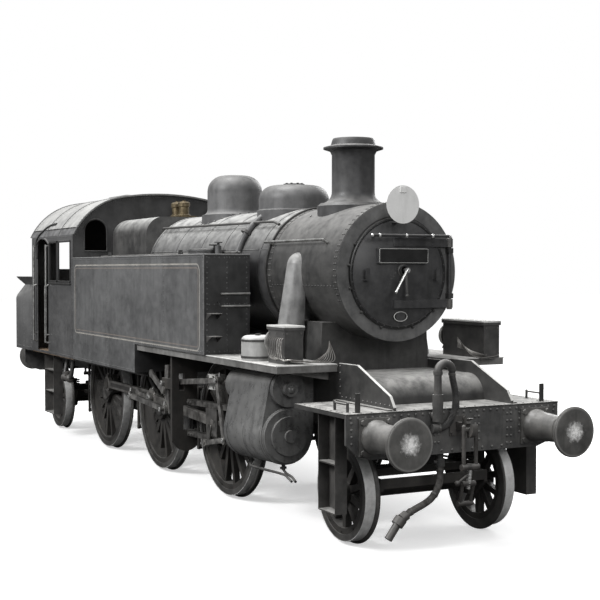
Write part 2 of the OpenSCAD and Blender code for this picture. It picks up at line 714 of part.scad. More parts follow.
// outline in Y and Z under a roof surface that lies `inset` inside the roof's top
module roof_region(inset) both_sides_2d() {
    turn_y = shoulder_y + (shoulder_r) * sin(shoulder_a);
    intersection() {
        translate([0, roof_top_z - roof_r]) circle(roof_r - inset, $fn = 200);
        translate([0, eave_z - eps]) square([turn_y, 800]);
    }
    intersection() {
        translate([shoulder_y, shoulder_z]) circle(shoulder_r - inset, $fn = 120);
        translate([turn_y - eps, eave_z - eps]) square([body_half_w - turn_y + eps - inset, 800]);
    }
}

module cab_roof() color("lightgray") rail_level() {
    overhang = 55;
    difference() {
        cross_plate(cab_back_x - overhang, cab_l + 2 * overhang) roof_region(0);
        cross_plate(cab_back_x - overhang - eps, cab_l + 2 * overhang + 2 * eps) roof_region(sheet_t);
        block(cab_back_x - 100, cab_front_x + 100, -body_half_w, body_half_w, eave_z - 10, eave_z);
    }
    // sliding ventilator on its runners
    block(cab_front_x - 1500, cab_front_x - 700, -300, 300, roof_top_z - 12, roof_top_z + 30);
}

module cab_end_outline(low_z, low_half_w) {
    roof_region(sheet_t);
    both_sides_2d() {
        translate([0, low_z]) square([low_half_w, eave_z - low_z]);
        translate([low_half_w - eps, floor_z]) square([body_half_w - sheet_t - low_half_w + eps,
                eave_z - floor_z]);
    }
}

module cab_front() color("dimgray") rail_level() cross_plate(cab_front_x - sheet_t, sheet_t) difference() {
    cab_end_outline(running_z, low_tank_in);
    firebox_outline();
    // arched lookout windows
    both_sides_2d() translate([firebox_half_w + 90, tank_top_z + 90]) {
        square([330, 300]);
        translate([165, 300]) circle(165);
    }
}

module cab_rear() color("dimgray") rail_level() cross_plate(cab_back_x, sheet_t) difference() {
    cab_end_outline(floor_z, low_tank_in);
    both_sides_2d() translate([500, bunker_top_z + 120]) square([430, 480]);
}

module cab_side() side_plate(body_half_w - sheet_t, sheet_t) difference() {
    translate([cab_back_x, cab_low_z]) square([cab_l, eave_z - cab_low_z]);
    // doorway with rounded top corners
    translate([doorway_x0, cab_low_z + 30]) square([doorway_x1 - doorway_x0,
            doorway_top_z - cab_low_z - 150]);
    translate([doorway_x0 + 120, cab_low_z + 30]) square([doorway_x1 - doorway_x0 - 240,
            doorway_top_z - cab_low_z - 30]);
    for (x = [doorway_x0 + 120, doorway_x1 - 120])
        translate([x, doorway_top_z - 120]) circle(120);
    // side window
    translate([window_x0, window_z0]) square([window_x1 - window_x0, window_z1 - window_z0]);
}

module cab_sides() color("slategray") rail_level() both_sides() {
    cab_side();
    // window pillar between the fixed and the sliding pane
    block(window_x0 + 420, window_x0 + 460, body_half_w - sheet_t, body_half_w, window_z0 - eps,
            window_z1 + eps);
    // curved rain strip over the doorway
    side_plate(body_half_w - eps, 16) intersection() {
        difference() {
            translate([(doorway_x0 + doorway_x1) / 2, eave_z - 700]) circle(690);
            translate([(doorway_x0 + doorway_x1) / 2, eave_z - 700]) circle(672);
        }
        translate([doorway_x0 - 60, eave_z - 160]) square([doorway_x1 - doorway_x0 + 120, 155]);
    }
}

module cab_floor() color("saddlebrown") rail_level() {
    wheel_in = tyre_in - 20;
    wheel_out = wheel_face_y + 14;
    splash_x0 = x_rear - driver_r - flange_h - 20;
    difference() {
        union() {
            block(cab_back_x + sheet_t, cab_front_x - sheet_t, -body_half_w + sheet_t, body_half_w - sheet_t,
                frame_end_z, floor_z);
            both_sides() block(splash_x0, cab_front_x - sheet_t, wheel_in - 6, wheel_out + 6,
                    floor_z - eps, running_z);
        }
        block(backhead_x, cab_front_x, -firebox_low_half_w, firebox_low_half_w, frame_end_z - eps,
                floor_z + eps);
        both_sides() block(splash_x0 + 6, cab_front_x, wheel_in, wheel_out, frame_end_z - eps, running_z - 8);
    }
}

module cab_fittings() color("dimgray") rail_level() {
    face_x = backhead_x;
    // fire door, regulator, gauge glasses and manifold on the backhead
    x_rod(face_x - 30, face_x, 210, 0, boiler_pitch - 700);
    x_rod(face_x - 60, face_x - 25, 150, 0, boiler_pitch - 700);
    x_rod(face_x - 120, face_x, 40, 0, boiler_pitch + 120);
    rod_between([face_x - 105, 0, boiler_pitch + 120], [face_x - 105, -430, boiler_pitch + 10], 16);
    for (y = [-230, 230]) {
        x_rod(face_x - 70, face_x, 22, y, boiler_pitch + 80);
        x_rod(face_x - 70, face_x, 22, y, boiler_pitch - 250);
        z_rod(boiler_pitch - 265, boiler_pitch + 95, 14, face_x - 58, y);
    }
    block(face_x - 90, face_x, -380, 380, boiler_pitch + 480, boiler_pitch + 560);
    for (y = [-300, -150, 0, 150, 300])
        x_rod(face_x - 150, face_x - 85, 18, y, boiler_pitch + 520);
    // seats on the splashers and the reversing screw
    both_sides() {
        block(x_rear - 560, x_rear - 160, wheel_face_y + 60, body_half_w - 60, floor_z + 300, floor_z + 360);
        block(x_rear - 380, x_rear - 330, wheel_face_y + 60, body_half_w - 60, floor_z, floor_z + 301);
    }
    block(cab_front_x - 420, cab_front_x - 330, 1060, 1160, floor_z, floor_z + 900);
    x_rod(cab_front_x - 480, cab_front_x - 329, 24, 1110, floor_z + 820);
    x_rod(cab_front_x - 500, cab_front_x - 470, 150, 1110, floor_z + 820);
}

module bunker_outline(inset) {
    // [x, z]: straight back, slope in and flare out at the top; an inset outline runs past the top
    past = inset > 0 ? 1 : 0;
    x0 = bunker_back_x + inset;
    polygon([[cab_back_x - inset, frame_end_z], [x0, frame_end_z], [x0, bunker_slope_z],
        [x0 + bunker_waist, bunker_waist_z], [x0 + bunker_lip, bunker_top_z],
        [x0 + bunker_lip, bunker_top_z + past], [cab_back_x - inset, bunker_top_z + past]]);
}

module bunker_section(inset) {
    // [y, z]: the sides slope in and flare out at the same heights as the back
    past = inset > 0 ? 1 : 0;
    y0 = body_half_w - inset;
    polygon([[-y0, frame_end_z], [y0, frame_end_z], [y0, bunker_slope_z],
        [y0 - bunker_waist, bunker_waist_z], [y0 - bunker_lip, bunker_top_z],
        [y0 - bunker_lip, bunker_top_z + past], [bunker_lip - y0, bunker_top_z + past],
        [bunker_lip - y0, bunker_top_z], [bunker_waist - y0, bunker_waist_z], [-y0, bunker_slope_z]]);
}

module bunker_plan(inset) {
    x0 = bunker_back_x + inset;
    half = body_half_w - inset;
    r = bunker_corner_r - inset;
    translate([x0 + r, -half]) square([cab_back_x - inset - x0 - r, 2 * half]);
    translate([x0, -half + r]) square([cab_back_x - inset - x0, 2 * half - 2 * r]);
    for (s = [-1, 1])
        translate([x0 + r, s * (half - r)]) circle(r);
}

module bunker_solid(inset, low_z) intersection() {
    side_plate(-body_half_w, body_w) bunker_outline(inset);
    cross_plate(bunker_back_x, cab_back_x - bunker_back_x) bunker_section(inset);
    translate([0, 0, low_z]) linear_extrude(bunker_top_z - low_z + 2 * eps) bunker_plan(inset);
}

module bunker() color("slategray") rail_level() {
    difference() {
        bunker_solid(0, frame_end_z);
        bunker_solid(sheet_t, bunker_floor_z);
    }
    // rear steps and lamp irons
    both_sides() {
        for (z = [1500, 1800])
            block(bunker_back_x - 90, bunker_back_x + eps, 700, 960, z, z + 10);
        translate([bunker_back_x - 30, 1000, 1350]) block(-10, 0, -25, 25, 0, 150);
        block(bunker_back_x - 40, bunker_back_x + eps, 975, 1025, 1350, 1358);
    }
}

// ---- cylinders and motion ----

module cylinder_unit(side) {
    front_x = cylinder_back_x + cylinder_l;
    rise = chest_up;
    difference() {
        on_cylinder_line(side) {
            translate([cylinder_back_x, 0, 0]) cross_plate(0, cylinder_l) belt(cylinder_r, chest_r, rise);
            // bolted covers at both ends
            x_rod(front_x - eps, front_x + 40, cylinder_r - 22, 0, 0);
            x_rod(front_x + 39, front_x + 70, cylinder_r - 90, 0, 0);
            x_rod(front_x + 69, front_x + 100, 60, 0, 0);
            x_rod(front_x - eps, front_x + 60, chest_r - 12, 0, rise);
            x_rod(front_x + 59, front_x + 120, 70, 0, rise);
            translate([front_x + 120, 0, rise]) sphere(40);
            x_rod(cylinder_back_x - 55, cylinder_back_x + eps, cylinder_r - 22, 0, 0);
            x_rod(cylinder_back_x - 120, cylinder_back_x - 54, 95, 0, 0);
            x_rod(cylinder_back_x - 180, cylinder_back_x + eps, chest_r - 12, 0, rise);
            x_rod(cylinder_back_x - 260, cylinder_back_x - 179, 60, 0, rise);
        }
        block(cylinder_back_x - 300, front_x + 200, -frame_out, frame_out, 0, running_z);
    }
    // casting between the barrel and the frame
    difference() {
        block(cylinder_back_x + 80, front_x - 120, side < 0 ? -cylinder_y : frame_out,
            side < 0 ? -frame_out : cylinder_y, driver_r + 60, frame_mid_z - 60);
        on_cylinder_line(side) translate([cylinder_back_x - 100, 0, 0]) cross_plate(0, cylinder_l + 200)
            belt(cylinder_r - 2, chest_r - 2, rise);
    }
}

module cylinders() color("gray") rail_level() {
    cylinder_unit(-1);
    cylinder_unit(1);
}

// casings of the live steam pipes from the smokebox down to the running plate
module steam_pipes() color("gray") rail_level() both_sides() difference() {
    intersection() {
        rod_between([chimney_x, smokebox_r - 60, boiler_pitch + 60], [chimney_x, smokebox_r + 110,
                running_z - 60], 140);
        block(chimney_x - 300, chimney_x + 300, frame_in + 3, 1200, running_z, boiler_pitch + 300);
    }
    x_rod(chimney_x - 300, chimney_x + 300, smokebox_r, 0, boiler_pitch, $fn = fine);
}

module slide_bars() color("silver") rail_level() for (side = [-1, 1]) difference() {
    on_cylinder_line(side) for (dz = [-slide_drop, slide_drop])
        block(motion_x1 - 20, cylinder_back_x - 55, -slide_bar_w / 2, slide_bar_w / 2,
                dz - slide_bar_t / 2, dz + slide_bar_t / 2);
    block(motion_x0 - 100, motion_x1, -2000, 2000, 0, 2000);
}

module motion_bracket() {
    con_slot_z = driver_r + motion_x0 * sin(incline_a);
    leg_in = cylinder_y + 90;
    hang_in = rod_y0 + rod_t + 25;
    // height that clears the front coupled wheel where the bracket crosses above it
    wheel_reach = driver_r + flange_h;
    over_wheel_z = driver_r + sqrt(wheel_reach * wheel_reach - pow(x_front - motion_x1, 2)) + 26;
    cross_plate(motion_x0, motion_x1 - motion_x0) difference() {
        union() {
            translate([frame_out, over_wheel_z])
                square([motion_out - frame_out, frame_mid_z - over_wheel_z - running_fit]);
            translate([hang_in, con_slot_z + 140]) square([motion_out - hang_in,
                    over_wheel_z - con_slot_z - 139]);
            translate([leg_in, 540]) square([motion_out - leg_in, over_wheel_z - 539]);
            translate([hang_in, 540]) square([motion_out - hang_in, con_slot_z - 680]);
            intersection() {
                translate([motion_out - 180, 610]) circle(180);
                translate([hang_in, 0]) square([motion_out - hang_in, 541]);
            }
        }
        // opening for the radius rod
        translate([link_y0 - 10, link_pivot_z - 50]) square([link_t + 20, 190]);
    }
    // arms that carry the expansion link
    for (y = [link_y0 - 32, link_y0 + link_t + 6])
        side_plate(y, 26) difference() {
            translate([link_x - 60, link_pivot_z - 60]) square([motion_x0 - link_x + 60, 120]);
            translate([link_x, link_pivot_z]) circle(28);
        }
}

module motion_brackets() color("dimgray") rail_level() both_sides() motion_bracket();

module crosshead(side) {
    s = crosshead_s(side);
    on_cylinder_line(side) {
        difference() {
            union() {
                block(s - 150, s + 150, -60, 60, -slide_drop + slide_bar_t / 2, slide_drop - slide_bar_t / 2);
                for (dz = [-1, 1])
                    block(s - 150, s + 150, -60, 60, dz > 0 ? slide_drop - slide_bar_t / 2 - 40
                            : -slide_drop + slide_bar_t / 2,
                        dz > 0 ? slide_drop - slide_bar_t / 2 : -slide_drop + slide_bar_t / 2 + 40);
            }
            // fork for the connecting rod and hollows above and below the pin
            block(s - 160, s + 90, -con_t / 2 - 3, con_t / 2 + 3, -95, 95);
            y_rod(-70, 70, 36 + running_fit, s, 0);
        }
        x_rod(s + 85, cylinder_back_x - 120, 42, 0, 0);
        // drop arm of the union link
        translate([0, side * 68, 0]) side_plate(-8, 16) link_bar([s - 20, -60], [s - 70, -slide_drop - 45],
                60, 42);
    }
}

module crossheads() color("silver") rail_level() {
    crosshead(-1);
    crosshead(1);
}

module connecting_rod(side) {
    s = crosshead_s(side);
    pin = polar(crank_throw, crank_a(side));
    small = polar(s, incline_a);
    translate([0, 0, driver_r]) {
        side_plate(side > 0 ? con_y0 : -con_y0 - con_t, con_t) {
            link_bar(pin, small, 110, 70);
            translate(pin) circle(130);
        }
        // big end brasses and the gudgeon pin
        y_rod(side > 0 ? big_end_y0 : -return_y0, side > 0 ? return_y0 : -big_end_y0, 105, pin[0], pin[1]);
        y_rod(side * cylinder_y - 60, side * cylinder_y + 60, 36, small[0], small[1]);
    }
}

module connecting_rods() color("silver") rail_level() {
    connecting_rod(-1);
    connecting_rod(1);
}

module valve_gear_side(side) {
    crank = polar(crank_throw, crank_a(side));
    // the return crank's pin trails the main crank by a quarter turn
    eccentric = polar(return_throw, crank_a(side) + 97);
    foot = [link_x, link_foot_z - driver_r];
    radius_end = [2560, 1330 - driver_r];
    lever_low = [2735, 715 - driver_r];
    union_end = [crosshead_s(side) - 64, 612 - driver_r];
    function y_at(y, t) = side > 0 ? y : -y - t;
    translate([0, 0, driver_r]) {
        side_plate(y_at(return_y0, return_t), return_t) link_bar(crank, eccentric, 90, 78);
        y_rod(y_at(return_y0 + return_t - eps, 116), y_at(return_y0 + return_t - eps, 116) + 116, 30,
            eccentric[0], eccentric[1]);
        side_plate(y_at(eccentric_y0, eccentric_t), eccentric_t) link_bar(eccentric, foot, 62, 58);
        y_rod(y_at(link_y0, 128), y_at(link_y0, 128) + 128, 26, foot[0], foot[1]);
    }
    // slotted expansion link with its trunnion
    link_r = 1500;
    side_plate(y_at(link_y0, link_t), link_t) intersection() {
        translate([link_x + link_r, link_pivot_z]) difference() {
            circle(link_r + 55, $fn = 200);
            circle(link_r - 55, $fn = 200);
        }
        translate([link_x - 200, link_foot_z - 40]) square([400, 560]);
    }
    y_rod(y_at(link_y0 - 30, 105), y_at(link_y0 - 30, 105) + 105, 26, link_x, link_pivot_z);
    // lifting arm above the radius rod
    side_plate(y_at(link_y0 + link_t + 32, 24), 24) link_bar([link_x - 380, 1262], [link_x, 1100], 70, 48);
    // radius rod, combination lever and union link
    translate([0, 0, driver_r]) {
        side_plate(y_at(link_y0 + 4, 30), 30) link_bar([link_x + 66, 430], radius_end, 60, 44);
        side_plate(y_at(link_y0 + 36, 28), 28) link_bar(radius_end, lever_low, 66, 46);
        y_rod(y_at(link_y0 - 26, 92), y_at(link_y0 - 26, 92) + 92, 24, radius_end[0], radius_end[1]);
        y_rod(y_at(link_y0 + 2, 66), y_at(link_y0 + 2, 66) + 66, 22, lever_low[0], lever_low[1]);
        side_plate(y_at(link_y0 + 6, 26), 26) link_bar(union_end, lever_low, 54, 40);
        y_rod(y_at(cylinder_y + 76, 58), y_at(cylinder_y + 76, 58) + 58, 22, union_end[0], union_end[1]);
    }
}

module valve_gear() color("silver") rail_level() {
    valve_gear_side(-1);
    valve_gear_side(1);
    // spindle guides behind the valve chests
    for (side = [-1, 1])
        on_cylinder_line(side) {
            block(2150, 2330, -60, 60, chest_up - 90, chest_up + 70);
            x_rod(2329, cylinder_back_x - 260, 26, 0, chest_up);
        }
}

module axlebox(x, r, z) difference() {
    block(x - horn_half_w, x + horn_half_w, axlebox_y0, axlebox_y1, frame_low_z, driver_r + horn_up);
    y_rod(axlebox_y0 - eps, axlebox_y1 + eps, r + running_fit, x, z);
}

module axleboxes() color("gray") rail_level() both_sides() for (x = [x_rear, 0, x_front]) {
    axlebox(x, axle_r, driver_r);
    // spring buckle and hanging leaf spring under the box
    block(x - 50, x + 50, frame_in - 45, frame_out, frame_low_z - 160, frame_low_z);
    for (i = [0 : 4])
        block(x - 480 + 80 * i, x + 480 - 80 * i, frame_in - 40, frame_out - 5,
                frame_low_z - 160 - 14 * (i + 1),
            frame_low_z - 160 - 14 * i + eps / 2);
    for (s = [-1, 1])
        block(x + s * 465 - 15, x + s * 465 + 15, frame_in - 20, frame_in + 5, frame_low_z - 165,
                frame_low_z);
}

module brake_gear() color("dimgray") rail_level() {
    hanger_y = tyre_in + 60;
    beam_z = 430;
    for (x = [x_rear, 0, x_front]) {
        hang_x = x - driver_r - 54;
        both_sides() {
            // block behind the tread, its hanger and the hanger's pin on the frame
            side_plate(tyre_in + 40, 80) intersection() {
                difference() {
                    translate([x, driver_r]) circle(driver_r + 75);
                    translate([x, driver_r]) circle(driver_r + 8);
                }
                translate([x - driver_r - 80, driver_r - 330]) square([200, 300]);
            }
            block(hang_x - 24, hang_x + 24, hanger_y - 12 + 72, hanger_y + 12 + 72, beam_z - 30, 1130);
            y_rod(frame_out, hanger_y + 84, 26, hang_x, 1110);
        }
        y_rod(-hanger_y - 84, hanger_y + 84, 28, hang_x, beam_z);
    }
    x_rod(x_rear - driver_r - 54, x_front - driver_r - 54, 20, 0, beam_z);
}

module ashpan() color("dimgray") rail_level() side_plate(-firebox_low_half_w + 10,
        2 * firebox_low_half_w - 20)
    polygon([[barrel_back_x - 20, firebox_low_z], [barrel_back_x - 20, 760], [barrel_back_x - 250, 560],
        [-1750, 560], [-1950, 760], [-1950, firebox_low_z]]);

module lubricators() color("dimgray") rail_level() {
    // [x0, x1, inner y, outer y, height] of the right and left mechanical lubricators
    for (b = [[3800, 4150, -1150, -950, 350], [3650, 4380, 990, 1180, 365]]) {
        block(b[0], b[1], b[2], b[3], running_z, running_z + b[4] - 30);
        block(b[0] - 12, b[1] + 12, b[2] - 12, b[3] + 12, running_z + b[4] - 31, running_z + b[4]);
        wheel_y = (b[2] + b[3]) / 2;
        x_rod(b[0] - 60, b[0] + eps, 22, wheel_y, running_z + 200);
        x_rod(b[0] - 50, b[0] - 20, 105, wheel_y, running_z + 200);
    }
}

module reservoir() color("gray") rail_level() translate([3480, -1110, running_z]) rotate_extrude()
    polygon(concat([[0, 0], [165, 0]], arc([115, 193], 50, 0, 90, 6), [[0, 243]]));

module handrails() color("silver") rail_level() both_sides() {
    rail_r = 14;
    // along the smokebox on two posts
    post_a = 24.8;
    rail_ring_r = smokebox_r + 70;
    rail = polar(rail_ring_r, post_a);
    foot = polar(smokebox_r + 0.3, post_a);
    x_rod(smokebox_back_x - 40, smokebox_front_x - 240, rail_r, rail[0], boiler_pitch + rail[1]);
    for (x = [smokebox_back_x + 60, smokebox_front_x - 300])
        rod_between([x, foot[0], boiler_pitch + foot[1]], [x, rail[0], boiler_pitch + rail[1]], 12);
    // upright rails at the doorway
    for (x = [doorway_x0 - 60, doorway_x1 + 35]) {
        z_rod(cab_low_z + 260, eave_z - 120, rail_r, x, body_half_w + 45);
        for (z = [cab_low_z + 280, eave_z - 140])
            y_rod(body_half_w, body_half_w + 45, 10, x, z);
    }
    // two short rails across the tank front
    for (z = [tank_top_z - 416, tank_top_z - 546]) {
        y_rod(tank_in + 20, body_half_w - 180, 10, tank_front_x + 50, z);
        for (y = [tank_in + 40, body_half_w - 200])
            x_rod(tank_front_x, tank_front_x + 50, 8, y, z);
    }
}

// ---- pipes and hoses on the front beam ----

module train_pipes() color("dimgray") rail_level() {
    // vacuum standpipe with its swan neck
    neck_r = 75;
    x_pipe = beam_x + 70;
    x_plug = beam_x + 40;
    pipe_y = -256;
    z_rod(1160, 1400, 48, x_pipe, pipe_y);
    z_rod(1399, 1585, 34, x_pipe, pipe_y);
    z_rod(1575, 1610, 42, x_pipe, pipe_y);
    translate([x_pipe, pipe_y + neck_r, 1600]) rotate([90, 0, 90]) rotate_extrude(angle = 180)
        translate([neck_r, 0]) circle(36);
    x_rod(beam_x, x_pipe, 40, pipe_y, 1205);
    block(beam_x, x_pipe, pipe_y - 15, pipe_y + 15, 1290, 1320);
    // dummy plug that the hose's end rests on
    y_rod(-300, -240, 40, x_plug, 1095);
    block(beam_x, x_plug, -285, -255, 1080, 1110);
    // steam heating pipe under the beam with its cock
    z_rod(731, 800, 45, 5250, -130);
    z_rod(799, beam_low_z + 60, 30, 5250, -130);
    block(5250, beam_back_x, -145, -115, beam_low_z + 20, beam_low_z + 50);
    y_rod(-200, -131, 16, 5250, 770);
    // rear standpipe
    z_rod(980, 1500, 40, -beam_x - 60, 256);
    block(-beam_x - 60, -beam_x, 241, 271, 1100, 1140);
}

module vacuum_hose() color("black") rail_level() swept_tube(vacuum_route, vacuum_hose_r);

module steam_heat_hose() color("dimgray") rail_level() swept_tube(heat_route, heat_hose_r);

// coupling head and tail on the end of the heating hose
module steam_heat_end() color("gray") rail_level() {
    tip = heat_route[len(heat_route) - 1];
    rod_between(tip, tip + [2, -56, -30], 44);
    rod_between(tip + [1, -54, -28], tip + [0, -100, -80], 56);
    rod_between(tip + [0, -96, -76], tip + [0, -190, -200], 36);
}

// ---- wheels ----

// [radius, distance from the inner face] section of a tyre with its flange
module tyre(tread_r) rotate([-90, 0, 0]) rotate_extrude() polygon([
    [tread_r - tyre_t, 0], [tread_r + flange_h - 10, 0], [tread_r + flange_h, 10],
    [tread_r + flange_h - 2, 20], [tread_r + 6, 34], [tread_r, 42], [tread_r - 4, tyre_w - 6],
    [tread_r - 10, tyre_w], [tread_r - tyre_t, tyre_w]]);

module tyres(x, tread_r) color("silver") rail_level() both_sides() translate([x, tyre_in, tread_r])
        tyre(tread_r);

module spokes(count, hub_r, rim_in, w0, w1) for (i = [0 : count - 1])
    rotate(360 / count * (i + 0.5)) polygon([[0, -w0 / 2], [rim_in + 2, -w1 / 2], [rim_in + 2, w1 / 2], [0,
            w0 / 2]]);

// one spoked wheel centre on its left-hand side
module wheel_centre(tread_r, hub_r, count, w0, w1) {
    rim_out = tread_r - tyre_t;
    rim_in = rim_out - 58;
    side_plate(tyre_in + 8, tyre_w - 16) difference() {
        circle(rim_out);
        circle(rim_in);
    }
    side_plate(tyre_in + 36, 68) spokes(count, hub_r, rim_in, w0, w1);
    side_plate(tyre_in, wheel_face_y - tyre_in - 8) circle(hub_r);
}

module pony_wheels(x) color("dimgray") rail_level() translate([x, 0, pony_r]) {
    both_sides() wheel_centre(pony_r, 120, pony_spokes, 74, 52);
    y_rod(-tyre_in - eps, tyre_in + eps, pony_axle_r, 0, 0);
}

// crank boss, pin and balance weight of one coupled wheel
module crank_side(side, pin, pin_end, weight_d) {
    a = crank_a(side);
    p = polar(crank_throw, a);
    rim_in = driver_r - tyre_t - 58;
    boss_y0 = side > 0 ? tyre_in + 30 : -wheel_face_y;
    side_plate(boss_y0, wheel_face_y - tyre_in - 30) {
        translate(p) circle(125);
        rotate(a) translate([0, -110]) square([crank_throw, 220]);
    }
    side_plate(side > 0 ? tyre_in + 26 : -tyre_in - 114, 88) intersection() {
        circle(rim_in + 2);
        rotate(a + 180) translate([weight_d, -rim_in]) square([rim_in, 2 * rim_in]);
    }
    y_rod(side > 0 ? wheel_face_y - eps : -pin_end, side > 0 ? pin_end : -wheel_face_y + eps, pin, p[0],
            p[1]);
}

// a pair of coupled wheels on their axle; the pins of the outer pairs end in a collar
module driver_wheels(x, pin, weight_d, collar) color("dimgray") rail_level() translate([x, 0, driver_r]) {
    pin_end = rod_y0 + rod_t + 2;
    both_sides() wheel_centre(driver_r, 150, driver_spokes, 84, 50);
    for (side = [-1, 1]) {
        crank_side(side, pin, pin_end, weight_d);
        p = polar(crank_throw, crank_a(side));
        if (collar)
            y_rod(side > 0 ? pin_end - eps : -pin_end - 14, side > 0 ? pin_end + 14 : -pin_end + eps,
                    pin + 26, p[0], p[1]);
    }
    y_rod(-tyre_in - eps, tyre_in + eps, axle_r, 0, 0);
}

module coupling_rod(side) color("silver") rail_level() translate([0, 0, driver_r]) {
    p = polar(crank_throw, crank_a(side));
    side_plate(side > 0 ? rod_y0 : -rod_y0 - rod_t, rod_t) translate(p) difference() {
        union() {
            translate([x_rear, -55]) square([x_front - x_rear, 110]);
            for (x = [x_rear, 0, x_front])
                translate([x, 0]) circle(105);
            for (x = [x_rear, 0, x_front])
                translate([x - 34, 0]) square([68, 128]);
        }
        circle(main_pin_r + running_fit);
        for (x = [x_rear, x_front])
            translate([x, 0]) circle(pin_r + open_pivot);
    }
}

module main_wheels() driver_wheels(0, main_pin_r, 330, false);
module front_wheels() driver_wheels(x_front, pin_r, 400, true);
module rear_wheels() driver_wheels(x_rear, pin_r, 400, true);
module main_tyres() tyres(0, driver_r);
module front_tyres() tyres(x_front, driver_r);
module rear_tyres() tyres(x_rear, driver_r);
module leading_wheels() pony_wheels(x_lead);
module trailing_wheels() pony_wheels(x_trail);
module leading_tyres() tyres(x_lead, pony_r);
module trailing_tyres() tyres(x_trail, pony_r);
module coupling_rod_right() coupling_rod(-1);
module coupling_rod_left() coupling_rod(1);

// a truck frame; `away` is 1 where its axle lies ahead of the pivot and -1 behind it
module truck(pivot_x, axle_x, away) color("dimgray") rail_level() {
    side_y = tyre_in - 120;
    plate = 36;
    mouth = 330;
    arm_end = axle_x - away * mouth;
    difference() {
        union() {
            both_sides() side_plate(side_y, plate) polygon([[axle_x - mouth, truck_top_z], [axle_x + mouth,
                    truck_top_z],
                [axle_x + mouth, truck_top_z - 110], [axle_x + 150, truck_low_z], [axle_x - 150, truck_low_z],
                [axle_x - mouth, truck_top_z - 110]]);
            both_sides() block(axle_x - 115, axle_x + 115, side_y - 30, side_y + plate + 40,
                    truck_low_z + 10, truck_top_z - 20);
            for (s = [-1, 1])
                block(axle_x + s * (mouth - 20) - 20, axle_x + s * (mouth - 20) + 20, -side_y, side_y,
                        truck_top_z - 90, truck_top_z);
            block(axle_x - 110, axle_x + 110, -side_y, side_y, truck_top_z - 12, truck_top_z + 60);
            block(axle_x - 100, axle_x + 100, -240, 240, truck_top_z + 59, frame_pony_z - 40 - move_gap);
            // radial arms and the pivot eye
            translate([0, 0, truck_top_z - 60]) linear_extrude(56) difference() {
                polygon([[arm_end, -480], [arm_end, 480], [pivot_x, 90], [pivot_x, -90]]);
                polygon([[arm_end, -400], [arm_end, 400], [pivot_x + away * 150, 40],
                        [pivot_x + away * 150, -40]]);
            }
            z_rod(truck_top_z - 100, truck_top_z, 115, pivot_x, 0);
        }
        z_rod(truck_top_z - 200, truck_top_z + eps, pivot_pin_r + running_fit, pivot_x, 0);
        y_rod(-tyre_in, tyre_in, pony_axle_r + running_fit, axle_x, pony_r);
    }
}

module leading_truck() truck(pivot_front_x, x_lead, 1);
module trailing_truck() truck(pivot_rear_x, x_trail, -1);

main_frames();
frame_stretchers();
buffer_beams();
buffers();
couplings();
front_platform();
running_plates();
footsteps();
smokebox_saddle();
smokebox();
chimney();
boiler_barrel();
top_feed();
dome();
firebox();
safety_valves();
side_tanks();
cab_front();
cab_sides();
cab_rear();
cab_roof();
cab_floor();
cab_fittings();
bunker();
cylinders();
steam_pipes();
slide_bars();
motion_brackets();
crossheads();
connecting_rods();
valve_gear();
axleboxes();
brake_gear();
ashpan();
lubricators();
reservoir();
handrails();
train_pipes();
vacuum_hose();
steam_heat_hose();
steam_heat_end();
smokebox_door();
headcode_disc();
leading_truck();
leading_wheels();
leading_tyres();
trailing_truck();
trailing_wheels();
trailing_tyres();
main_wheels();
main_tyres();
front_wheels();
front_tyres();
rear_wheels();
rear_tyres();
coupling_rod_right();
coupling_rod_left();
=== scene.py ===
"""Finished model of a side-tank steam locomotive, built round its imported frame."""

import json
import logging
import math
from dataclasses import dataclass
from enum import Enum
from typing import Callable, Iterable, Sequence

import bmesh
import bpy
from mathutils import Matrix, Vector


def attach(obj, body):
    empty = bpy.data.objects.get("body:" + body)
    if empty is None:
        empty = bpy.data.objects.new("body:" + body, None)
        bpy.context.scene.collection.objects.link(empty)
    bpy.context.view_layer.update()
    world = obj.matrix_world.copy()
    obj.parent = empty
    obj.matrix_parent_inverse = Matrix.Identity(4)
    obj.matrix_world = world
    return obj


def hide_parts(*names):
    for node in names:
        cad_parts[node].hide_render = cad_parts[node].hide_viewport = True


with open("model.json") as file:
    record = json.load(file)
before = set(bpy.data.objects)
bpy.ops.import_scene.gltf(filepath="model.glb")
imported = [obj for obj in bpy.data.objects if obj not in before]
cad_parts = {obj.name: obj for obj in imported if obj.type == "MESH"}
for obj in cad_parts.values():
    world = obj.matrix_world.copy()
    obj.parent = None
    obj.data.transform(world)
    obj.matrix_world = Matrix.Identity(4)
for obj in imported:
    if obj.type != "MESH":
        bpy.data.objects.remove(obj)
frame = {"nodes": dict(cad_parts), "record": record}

logging.basicConfig(level=logging.INFO, format="%(message)s")
LOG = logging.getLogger("locomotive")

MM = 0.001
RAIL = 0.030
Colour = tuple[float, float, float]
Point = tuple[float, float, float]
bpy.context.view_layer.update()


def at(x: float, y: float, z: float) -> Vector:
    """Returns the point in metres of a place in millimetres, with z above the rails."""
    return Vector((x * MM, y * MM, z * MM + RAIL))


class Body(Enum):
    """The rigid bodies that pieces ride on."""

    ENGINE = "locomotive"
    DOOR = "smokebox_front_door"
    LEAD_TRUCK = "leading_truck_body"
    LEAD_WHEELS = "leading_wheelset"
    TRAIL_TRUCK = "trailing_truck_body"
    TRAIL_WHEELS = "trailing_wheelset"
    MAIN_WHEELS = "main_wheelset"
    FRONT_WHEELS = "front_wheelset"
    REAR_WHEELS = "rear_wheelset"
    ROD_RIGHT = "right_coupling_rod"
    ROD_LEFT = "left_coupling_rod"


# ---- shader maths ----


